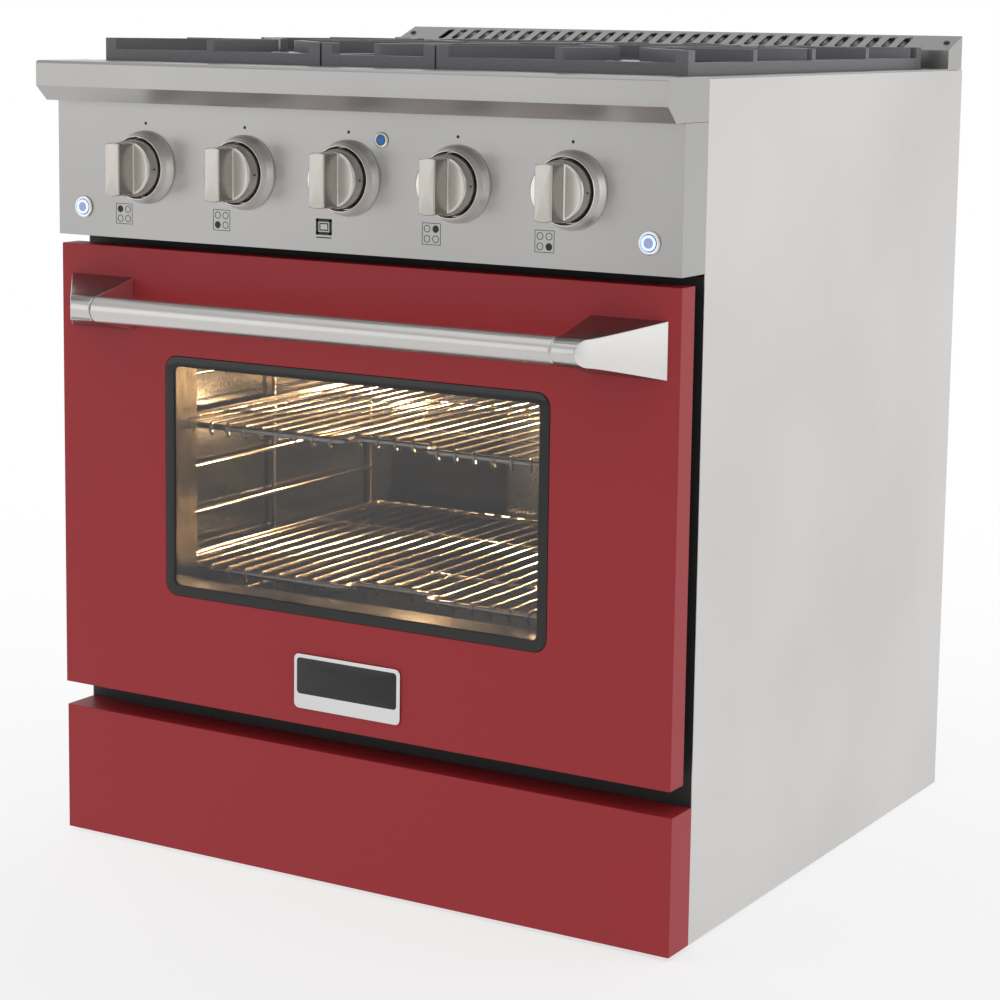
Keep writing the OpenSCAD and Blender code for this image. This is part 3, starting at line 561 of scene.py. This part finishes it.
class RANGE_OT_fascia(Piece):
    """Build the control panel, the trim above it and the printed marks"""
    bl_idname = "gas_range.fascia"
    bl_label = "Fascia"

    def build(self, s):
        softened("control_panel", s.edge, finish("brushed_stainless"))
        softened("front_trim", s.edge * 0.7, finish("brushed_stainless"),
                 angle=20.0)
        marks = Shells()
        face = face_of("control_panel")
        ink, ink_edge = 0.00012, 0.00003
        dot_d, dot_up = 0.0034, 0.0465
        mark_aside, mark_up = -0.030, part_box("control_panel")[0][2] + 0.026
        hair, ring_line, fine, bold = 0.0006, 0.0007, 0.0012, 0.0032

        def plate(x, z, w, h, r):
            """A thin printed patch with round corners."""
            def outline(inset):
                return round_loop(w - 2 * inset, h - 2 * inset, max(r - inset, 0.0002), 5)

            marks.add(facing_front(plate_rings(outline, ink, ink_edge, 2), (x, face, z)))

        def frame_mark(x, z, w, h, line):
            """A rectangle drawn with a line."""
            for sx in (-1, 1):
                plate(x + sx * (w - line) / 2, z, line, h, line / 3)
            for sz in (-1, 1):
                plate(x, z + sz * (h - line) / 2, w, line, line / 3)

        def ring_mark(x, z, radius, line):
            """A circle drawn with a line."""
            prof = [(radius - line, 0.0), (radius - line, ink), (radius, ink), (radius, 0.0)]
            marks.add(turned(prof, (x, face, z), steps=28), caps=(False, False))

        def oven_mark(x, z, side):
            """An oven's sign: a bold frame with a window in it and a line below."""
            frame_mark(x, z, side * 0.90, side * 0.76, bold)
            frame_mark(x, z, side * 0.50, side * 0.36, fine)
            plate(x, z - side * 0.50, side * 0.86, fine, fine / 3)

        def burner_mark(x, z, side, chosen):
            """A square with four rings, of which the knob's own burner is filled."""
            off, dot = side * 0.23, side * 0.34
            frame_mark(x, z, side, side, hair)
            for cx in (-1, 1):
                for cz in (-1, 1):
                    px, pz = x + cx * off, z + cz * off
                    if (cx, cz) == chosen:
                        plate(px, pz, dot, dot, side * 0.168)
                    else:
                        ring_mark(px, pz, dot / 2, ring_line)

        # each knob's burner: left or right, and front or rear
        burners = {1: (-1, 1), 2: (-1, -1), 4: (1, 1), 5: (1, -1)}
        for i in KNOBS:
            x, _, z = centre_of(f"valve_plug_{i}")
            plate(x, z + dot_up, dot_d, dot_d, 0.0016)
            if i in burners:
                burner_mark(x + mark_aside, mark_up, s.mark, burners[i])
            else:
                oven_mark(x + mark_aside, mark_up, s.mark)
        marks.made("fascia_marks", [finish("ink")], RANGE)


class RANGE_OT_bezels(Piece):
    """Build the bezels behind the knobs and round the push buttons"""
    bl_idname = "gas_range.bezels"
    bl_label = "Bezels"

    def build(self, s):
        face = face_of("control_panel")
        r = s.bezel_d / 2
        hole = s.skirt_d / 2 + 0.0015
        up = s.bezel_up
        lip, waist = 0.0026, 0.0098
        bore, floor = 0.0125, 0.0018
        rim = eased([(bore, 0.0), (r, 0.0), (r, lip), (r - 0.0036, waist), (hole + 0.0011, up),
                     (hole + 0.0004, up), (hole, up - 0.0010), (hole, floor), (bore, floor), (bore, 0.0)],
                    0.0007)
        shells = Shells()
        for i in KNOBS:
            x, _, z = centre_of(f"valve_plug_{i}")
            shells.add(turned(rim, (x, face - STAND_OFF, z)), caps=(False, False))
        q = s.ring_d / 2
        mouth, ring_up = 0.0082, 0.0026
        ring = eased([(mouth, 0.0), (q, 0.0), (q, ring_up - 0.0010), (q - 0.0014, ring_up),
                      (mouth + 0.0010, ring_up), (mouth + 0.0001, ring_up - 0.0010), (mouth, 0.0)], 0.0005)
        for node in ("left_button", "right_button"):
            x, _, z = centre_of(node)
            shells.add(turned(ring, (x, face - STAND_OFF, z)), caps=(False, False))
        looks = [finish("bezel_satin"), finish("bezel_painted_highlight")]
        made = shells.made("bezels", looks, RANGE, ("control_bezels",), "satin_nickel").data
        # painted highlight: the cone under the rim and the rim itself, picked by which way they face, get a
        # lighter copy of the bezel's finish than the flank
        forward = np.abs(polygon_values(made, "normal")[:, 1])
        painted_highlight_faces = ((forward > 0.15) & (forward < 0.35)) | (forward > 0.9)
        made.polygons.foreach_set("material_index", painted_highlight_faces.astype(np.int32))


class RANGE_OT_knobs(Piece):
    """Build the five knobs"""
    bl_idname = "gas_range.knobs"
    bl_label = "Knobs"

    def build(self, s):
        face = face_of("control_panel")
        r = s.skirt_d / 2
        disc = r - 0.0026
        half = s.blade_w / 2
        back, front = 0.0058, s.knob_face
        skirt = eased([(0.012, back + 0.0007), (r - 0.0006, back), (r, back + 0.0010),
                       (r - 0.0014, front - 0.0022), (disc - 0.0006, front), (disc - 0.0040, front),
                       (0.004, front)], 0.0012)

        def blade(inset):
            """Outline of the grip: two arcs on the disc's edge joined by straight sides."""
            h, q = half - inset, disc - 0.0005 - inset
            a = math.asin(h / q)
            arc = np.linspace(math.pi / 2 - a, math.pi / 2 + a, 17)
            top_arc = np.stack([q * np.cos(arc), q * np.sin(arc)], axis=1)
            rise = np.linspace(top_arc[-1, 1], -top_arc[-1, 1], 13)[1:-1]
            left = np.stack([np.full(len(rise), -h), rise], axis=1)
            return np.concatenate([top_arc, left, -top_arc, -left])

        # the blade flares at its foot, rises straight and ends in a quarter round
        t = np.linspace(0.0, math.pi / 2, 6)
        ease = 0.0016
        foot = front - 0.0005
        insets = np.concatenate([[-0.0014, -0.0012, 0.0], ease * (1 - np.cos(t))])
        levels = np.concatenate([[foot, foot + 0.0006, foot + 0.0020],
                                 s.knob_top - ease + ease * np.sin(t)])
        rings = lifted(blade, insets, levels)

        def pin_outline(inset):
            return round_loop(0.0030 - 2 * inset, 0.0016 - 2 * inset, 0.0007 - inset, 4)

        pin = plate_rings(pin_outline, 0.0012, 0.0002, 3)
        pin_out, pin_reach = r - 0.0017, 0.024
        looks = [finish(n) for n in ("satin_nickel", "nickel_face", "ink", "nickel_painted_shade", "nickel_painted_light")]
        for i in KNOBS:
            node = f"knob_{i}"
            x, _, z = centre_of(f"valve_plug_{i}")
            shells = Shells()
            shells.add(turned(skirt, (x, face, z)))
            shells.add(facing_front(rings, (x, face, z)), mark=1, caps=(False, True))
            shells.add(np.stack([x + pin_out + pin[..., 2], face - pin_reach + pin[..., 0], z + pin[..., 1]],
                                axis=-1), mark=2)
            made = shells.made(f"{node}_turned", looks, node, (node,), "satin_nickel").data
            # painted shade and light: the blade's sides, picked by facing sideways, get a darker copy of the
            # nickel, and the round face, picked by facing front, a lighter, rougher copy
            marks = np.array(shells.marks)
            normals = np.abs(polygon_values(made, "normal"))
            sides = (marks == 1) & (normals[:, 0] > 0.85)
            painted_light_faces = (marks == 0) & (normals[:, 1] > 0.98)
            marks = np.where(sides, 3, np.where(painted_light_faces, 4, marks))
            made.polygons.foreach_set("material_index", marks.astype(np.int32))


class RANGE_OT_buttons(Piece):
    """Build the two lit push buttons and the indicator lamp"""
    bl_idname = "gas_range.buttons"
    bl_label = "Buttons"

    def build(self, s):
        face = face_of("control_panel")
        looks = [finish("polished_strip"), finish("button_cap"), finish("ring_light")]
        stem = 0.0078
        cap = eased([(stem, -0.010), (stem, 0.0022), (0.0050, 0.0032), (0.0049, 0.0028), (0.0, 0.0030)],
                    0.0004)
        glow = eased([(0.0052, 0.0030), (0.0060, 0.00345), (0.0072, 0.00345), (0.0077, 0.0028)], 0.0003)
        for node in ("left_button", "right_button"):
            x, _, z = centre_of(node)
            rings = turned(cap, (x, face, z), steps=48)
            shells = Shells()
            shells.add(rings[:-4], mark=0, caps=(True, False))
            shells.add(rings[-5:], mark=1, caps=(False, False))
            shells.add(turned(glow, (x, face, z), steps=48), mark=2, caps=(False, False))
            shells.made(f"{node}_cap", looks, node, (node,), "button_cap")

        x, _, z = centre_of("indicator_lamp")
        socket = 0.0029
        dome = eased([(socket, -0.012), (socket, 0.0004), (0.0050, 0.0005), (0.0048, 0.0018),
                      (0.0024, 0.0030), (0.0, 0.0032)], 0.0008)
        shells = Shells()
        shells.add(turned(dome, (x, face, z), steps=40), mark=0, caps=(True, False))
        shells.made("indicator_lens", [finish("blue_lens")], RANGE, ("indicator_lamp",), "blue_lens")
        rim = eased([(0.0052, 0.0), (0.0080, 0.0), (0.0080, 0.0012), (0.0066, 0.0022), (0.0054, 0.0018),
                     (0.0052, 0.0)], 0.0004)
        shells = Shells()
        shells.add(turned(rim, (x, face - STAND_OFF / 2, z), steps=40), caps=(False, False))
        shells.made("indicator_rim", [finish("polished_strip")], RANGE)


class RANGE_OT_top(Piece):
    """Finish the cooktop and the vent guard"""
    bl_idname = "gas_range.top"
    bl_label = "Cooktop"

    def build(self, s):
        softened("cooktop", s.edge * 0.5, finish("brushed_stainless"))
        softened("vent_guard", s.edge * 0.3, finish("brushed_stainless"),
                 segments=2)


class RANGE_OT_grates(Piece):
    """Build the cast grates"""
    bl_idname = "gas_range.grates"
    bl_label = "Grates"

    def build(self, s):
        for node in ("left_grate", "middle_grate", "right_grate"):
            softened(node, s.cast_edge, finish("cast_iron"), node, 3)


class RANGE_OT_burners(Piece):
    """Build the burner caps and finish the burners"""
    bl_idname = "gas_range.burners"
    bl_label = "Burners"

    def build(self, s):
        dressed("burner_bases", finish("burner_alloy"))
        dressed("igniters", finish("ceramic"))
        softened("burner_caps", 0.0006, finish("black_enamel"), segments=2, angle=35.0)


class RANGE_OT_door(Piece):
    """Build the door's shell, liner, gasket and hinges"""
    bl_idname = "gas_range.door"
    bl_label = "Door"

    def build(self, s):
        softened("door_skin", s.door_edge * 0.5, finish("red_powder_coat"), "door", 3)
        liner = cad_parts["door_liner"].data
        dressed("door_liner", finish("oven_enamel"))
        liner.materials.append(finish("polished_strip"))
        # the bright walls of the opening stand left and right of the inner glass
        low, high = corners("door_inner_glass")
        wall, near = 0.006, 0.0006
        centres = polygon_values(liner, "center")
        aside, up = np.abs(centres[:, 0]), centres[:, 2]
        upright = (aside > high[0] - wall) & (aside < high[0] + near)
        inside = upright & (up > low[2] - near) & (up < high[2] + near)
        liner.polygons.foreach_set("material_index", inside.astype(np.int32))
        dressed("door_gasket", finish("gasket_fibre"))
        dressed("hinge_arms", finish("zinc_sheet"))


class RANGE_OT_window(Piece):
    """Build the door's outer and inner glass"""
    bl_idname = "gas_range.window"
    bl_label = "Window"

    def build(self, s):
        low, high = corners("door_outer_glass")
        width, height, depth = high[0] - low[0], high[2] - low[2], high[1] - low[1]
        centre = ((low[0] + high[0]) / 2, high[1], (low[2] + high[2]) / 2)

        def outline(inset):
            return round_loop(width - 2 * inset, height - 2 * inset, max(0.015 - inset, 0.007), 10)

        rings = plate_rings(outline, depth, 0.0007)
        inner = np.column_stack([outline(s.border), np.full(len(outline(0.0)), 0.0)])
        front = inner + (0.0, 0.0, depth)
        halfway = (0.5, 0.5, 1.0)
        border = np.concatenate([inner[None], rings, front[None]])
        shells = Shells()
        shells.add(facing_front(border, centre), caps=(False, False))
        for side in (front, inner):
            pane = np.stack([side, side * halfway])
            shells.add(facing_front(pane, centre), mark=1, caps=(False, True))
        looks = [finish("border_ink"), finish("tinted_glass")]
        shells.made("window_glass", looks, "door", ("door_outer_glass",), "tinted_glass")
        dressed("door_inner_glass", finish("clear_glass"))


class RANGE_OT_handle(Piece):
    """Build the handle tube and its two brackets"""
    bl_idname = "gas_range.handle"
    bl_label = "Handle"

    def build(self, s):
        low, high = corners("handle_tube")
        centre = (low + high) / 2
        half = (high[0] - low[0]) / 2
        r = s.tube_d / 2
        shells = Shells()
        step = 0.0012
        end = eased([(0.001, -half), (r - step, -half), (r - step, -half + step), (r, -half + step + 0.0010),
                     (r, -half + 0.006)], 0.0006)
        far = end[::-1] * (1.0, -1.0)
        shells.add(turned(np.concatenate([end, far]), centre, X))
        shells.made("handle_bar", [finish("handle_satin")], "door", ("handle_tube",), "brushed_stainless")

        foot_low, foot_high = corners("handle_brackets")
        door = foot_high[1]
        gap, nose = 0.0003, 0.0250
        start, out, tip = half + gap, foot_high[0], half + nose
        tall = (foot_high[2] - foot_low[2]) / 2
        front = centre[1] - r
        # each foot is a row of upright loops: their height follows the tube's round front and then
        # grows to the foot's height at the door, and their outer side slants from the nose outwards
        t = np.linspace(0.04, math.pi / 2, 18)
        u = np.linspace(0.0, 1.0, 12)[1:]
        places = np.concatenate([centre[1] - r * np.cos(t), centre[1] + (door - centre[1]) * u])
        heights = np.concatenate([r * np.sin(t), r + (tall - r) * u ** 1.1])
        outer = tip + (out - tip) * (places - front) / (door - front)
        loops = np.stack([round_loop(w, 2 * h, min(0.0011, h * 0.8), 5)
                          for w, h in zip(outer - start, heights)])
        across = (start + outer)[:, None] / 2 + loops[..., 0]
        shells = Shells()
        for side in (-1, 1):
            shells.add(np.stack([side * across, np.broadcast_to(places[:, None], across.shape),
                                 centre[2] + loops[..., 1]], axis=-1))
        looks = [finish("handle_satin"), finish("foot_painted_shade"), finish("foot_painted_highlight")]
        feet = shells.made("handle_feet", looks, "door", ("handle_brackets",), "brushed_stainless", 28.0).data
        # painted light: the feet's faces turned sideways get a lighter copy of the satin (painted highlight),
        # and those turned up or down a darker one (painted shade)
        normals = np.abs(polygon_values(feet, "normal"))
        lit_or_shaded = np.where(normals[:, 0] > 0.4, 2, np.where(normals[:, 2] > 0.62, 1, 0))
        feet.polygons.foreach_set("material_index", lit_or_shaded.astype(np.int32))


class RANGE_OT_badge(Piece):
    """Build the blank badge on the door"""
    bl_idname = "gas_range.badge"
    bl_label = "Badge"

    def build(self, s):
        low, high = corners("door_badge")
        width, height, depth = high[0] - low[0], high[2] - low[2], high[1] - low[1]
        centre = ((low[0] + high[0]) / 2, high[1], (low[2] + high[2]) / 2)

        def outline(inset):
            return round_loop(width - 2 * inset, height - 2 * inset, max(0.006 - inset, 0.001), 8)

        field_h = height * 0.66
        margin = 0.004
        up = (height - field_h) / 2 - margin

        def field(inset):
            return round_loop(width - 2 * (margin + inset), field_h - 2 * inset, max(0.004 - inset, 0.001), 8)

        shells = Shells()
        shells.add(facing_front(plate_rings(outline, depth, 0.0008), centre))
        raised = plate_rings(field, 0.0005, 0.0001, 3)
        shells.add(facing_front(raised, (centre[0], low[1] + 0.0003, centre[2] + up)), mark=1)
        looks = [finish("badge_rim"), finish("badge_plate")]
        shells.made("badge", looks, "door", ("door_badge",), "badge_plate")


class RANGE_OT_cavity(Piece):
    """Finish the oven's inside"""
    bl_idname = "gas_range.cavity"
    bl_label = "Oven"

    def build(self, s):
        for node in ("oven_liner", "oven_floor"):
            dressed(node, finish("oven_enamel"))
        softened("fan_cover", 0.0006, finish("oven_enamel"), segments=2)
        dressed("rack_guides", finish("chrome_wire"))
        for node in ("bake_burner", "broil_burner", "fan_blade"):
            dressed(node, finish("burner_alloy"))
        dressed("fan_motor", finish("dark_motor"))
        dressed("oven_lamp", finish("lamp_glass"))


class RANGE_OT_racks(Piece):
    """Build the two wire racks"""
    bl_idname = "gas_range.racks"
    bl_label = "Racks"

    def build(self, s):
        rail, fine = s.rail_d / 2, s.wire_d / 2
        recess, deep, bend = 0.052, 0.024, 0.009
        drop = np.array((0.0022, 0.0052))
        lip = rail + fine * 0.6
        for node in ("lower_rack", "upper_rack"):
            low, high = corners(node)
            x1, y0, y1 = high[0] - rail, low[1] + rail, high[1] - rail
            z = high[2] - rail
            outline = [(-recess, y0 + deep), (-recess, y0), (-x1, y0), (-x1, y1), (x1, y1), (x1, y0),
                       (recess, y0), (recess, y0 + deep)]
            flat = eased(outline, bend, 7, closed=True)
            path = np.column_stack([flat, np.full(len(flat), z)])
            shells = Shells()
            shells.add(swept(path, rail, Z, 12, closed=True), caps=(False, False))
            for y in (y0 + 0.130, y1 - 0.120):
                ends = np.linspace(-x1, x1, 3)
                stay = np.column_stack([ends, np.full(3, y), np.full(3, z - rail - fine + 0.0012)])
                shells.add(swept(stay, rail * 0.85, Z))
            count = int((x1 - 0.012) / s.wire_gap)
            for i in range(-count, count + 1):
                x = i * s.wire_gap
                front = y0 + (deep if abs(x) < recess + 0.004 else 0.0)
                a = np.linspace(math.pi / 2, math.pi * 1.25, 8)
                hook_y = front + lip * np.cos(a)
                hook_z = z + lip * np.sin(a)
                ys = np.concatenate([[y1, (y1 + front) / 2, front + 0.012], hook_y, hook_y[-1] + drop * 0.5])
                zs = np.concatenate([[z + lip - 0.0004] * 3, hook_z, hook_z[-1] - drop])
                shells.add(swept(np.column_stack([np.full(len(ys), x), ys, zs]), fine, X, 8))
            shells.made(f"{node}_wires", [finish("chrome_wire")], node, (node,), "chrome_wire", 50.0)


class RANGE_OT_gas(Piece):
    """Finish the gas train behind the fascia"""
    bl_idname = "gas_range.gas"
    bl_label = "Gas train"

    def build(self, s):
        for node in ["gas_manifold", "valve_bodies"] + [f"valve_plug_{i}" for i in KNOBS]:
            dressed(node, finish("brass"))
        dressed("gas_regulator", finish("burner_alloy"))


class RANGE_OT_feet(Piece):
    """Finish the levelling feet"""
    bl_idname = "gas_range.feet"
    bl_label = "Feet"

    def build(self, s):
        for node in ("foot_front_left", "foot_front_right", "foot_rear_left", "foot_rear_right"):
            dressed(node, finish("zinc_foot"))


def area_light(name, place, target, size, radiance):
    """A soft rectangular light that looks at a point; its power is pi times its area times its radiance."""
    data = bpy.data.lights.new(name, "AREA")
    data.shape = "RECTANGLE"
    data.size, data.size_y = size
    data.energy = math.pi * size[0] * size[1] * radiance
    obj = bpy.data.objects.new(name, data)
    bpy.context.scene.collection.objects.link(obj)
    look = np.array(target, float) - np.array(place, float)
    look /= np.linalg.norm(look)
    side = np.cross(look, Z)
    side /= np.linalg.norm(side)
    up = np.cross(side, look)
    m = np.eye(4)
    m[:3, 0], m[:3, 1], m[:3, 2], m[:3, 3] = side, up, -look, place
    obj.matrix_world = Matrix(m.tolist())
    return obj


class RANGE_OT_stage(Piece):
    """Set up the floor, the lights and the camera"""
    bl_idname = "gas_range.stage"
    bl_label = "Stage"

    def build(self, s):
        scene = bpy.context.scene
        scene.view_settings.view_transform = "Standard"
        world = bpy.data.worlds.new("Plain surroundings")
        world.use_nodes = True
        back = world.node_tree.nodes["Background"]
        back.inputs["Color"].default_value = (1.0, 1.0, 1.0, 1.0)
        back.inputs["Strength"].default_value = s.sky
        scene.world = world

        yaw, pitch, roll = (math.radians(a) for a in (YAW, PITCH, ROLL))
        back_way = np.array((-math.sin(yaw), math.cos(yaw), 0.0))
        side_way = np.array((math.cos(yaw), math.sin(yaw), 0.0))
        floor = Finish("pale_floor").set(Base_Color=(0.93, 0.93, 0.93), Roughness=0.9, Specular_IOR_Level=0.1)
        coords = floor.add("ShaderNodeTexCoord")
        away = floor.add("ShaderNodeVectorMath", operation="DOT_PRODUCT")
        away.inputs[1].default_value = back_way
        fade = floor.add("ShaderNodeMapRange", interpolation_type="SMOOTHSTEP")
        fade.inputs["From Min"].default_value = FADE[0]
        fade.inputs["From Max"].default_value = FADE[1]
        light = floor.add("ShaderNodeEmission", in_Strength=1.0)
        mix = floor.add("ShaderNodeMixShader")
        floor.link(coords, "Object", away, 0)
        floor.link(away, "Value", fade, "Value")
        floor.link(fade, "Result", mix, 0)
        floor.link(floor.shader, 0, mix, 1)
        floor.link(light, 0, mix, 2)
        floor.link(mix, 0, floor.tree.nodes["Material Output"], "Surface")
        a = np.linspace(0.0, math.pi / 2, 13)
        near, bend_at, bend, tall, half_wide = -7.0, 6.0, 2.0, 5.0, 14.0
        run = np.concatenate([[near], bend_at + bend * np.sin(a), [bend_at + bend]])
        rise = np.concatenate([[0.0], bend * (1 - np.cos(a)), [tall]])
        wide = np.array((-half_wide, half_wide))
        points = (run[:, None, None] * back_way + wide[None, :, None] * side_way + rise[:, None, None] * Z)
        row = np.arange(len(run) - 1) * 2
        mesh = bpy.data.meshes.new("floor")
        mesh.from_pydata(points.reshape(-1, 3).tolist(), [],
                         np.stack([row, row + 1, row + 3, row + 2], axis=1).tolist())
        mesh.materials.append(floor.material)
        mesh.shade_smooth()
        obj = bpy.data.objects.new("floor", mesh)
        scene.collection.objects.link(obj)

        for name, place, target, size in SOFT_LIGHTS:
            area_light(name, place, target, size, getattr(s, name))
        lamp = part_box("oven_lamp")[0]
        low, high = corners("oven_liner")
        for name, place in (("oven_left", (lamp[0] + 0.03, high[1] - 0.05, high[2] - 0.07)),
                            ("oven_right", (-lamp[0] - 0.08, high[1] - 0.06, high[2] - 0.07)),
                            ("oven_back", (-0.02, high[1] - 0.06, low[2] + 0.22))):
            data = bpy.data.lights.new(name, "POINT")
            data.energy = s.glow
            data.color = s.warm
            data.shadow_soft_size = 0.02
            obj = bpy.data.objects.new(name, data)
            obj.matrix_world = Matrix.Translation(place)
            scene.collection.objects.link(obj)

        cam = bpy.data.cameras.new("Camera")
        cam.sensor_width = SENSOR
        cam.lens = LENS
        cam.shift_y = RISE
        cam.clip_start, cam.clip_end = 0.05, 60.0
        ahead = back_way * math.cos(pitch) + Z * math.sin(pitch)
        right = side_way
        above = np.cross(right, ahead)
        m = np.eye(4)
        m[:3, 0] = right * math.cos(roll) + above * math.sin(roll)
        m[:3, 1] = -right * math.sin(roll) + above * math.cos(roll)
        m[:3, 2] = -ahead
        m[:3, 3] = EYE
        obj = bpy.data.objects.new("Camera", cam)
        obj.matrix_world = Matrix(m.tolist())
        scene.collection.objects.link(obj)
        scene.camera = obj


class RANGE_PT_sidebar(bpy.types.Panel):
    """Settings and steps of the range"""
    bl_label = "Gas Range"
    bl_space_type = "VIEW_3D"
    bl_region_type = "UI"
    bl_category = "Range"

    def draw(self, context):
        s = context.scene.gas_range
        for key in RangeSettings.__annotations__:
            self.layout.prop(s, key)
        for op in OPERATORS:
            self.layout.operator(op.bl_idname)


OPERATORS = (RANGE_OT_casing, RANGE_OT_fascia, RANGE_OT_bezels, RANGE_OT_knobs, RANGE_OT_buttons,
             RANGE_OT_top, RANGE_OT_grates, RANGE_OT_burners, RANGE_OT_door, RANGE_OT_window,
             RANGE_OT_handle, RANGE_OT_badge, RANGE_OT_cavity, RANGE_OT_racks, RANGE_OT_gas,
             RANGE_OT_feet, RANGE_OT_stage)


def register():
    """Registers the settings, operators and panel."""
    for c in (RangeSettings, *OPERATORS, RANGE_PT_sidebar):
        bpy.utils.register_class(c)
    bpy.types.Scene.gas_range = PointerProperty(type=RangeSettings)


def unregister():
    """Takes them away again."""
    del bpy.types.Scene.gas_range
    for c in (RANGE_PT_sidebar, *reversed(OPERATORS), RangeSettings):
        bpy.utils.unregister_class(c)


def main():
    """Builds the whole scene."""
    register()
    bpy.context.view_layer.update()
    for op in OPERATORS:
        space, name = op.bl_idname.split(".")
        getattr(getattr(bpy.ops, space), name)()


if __name__ == "__main__":
    main()
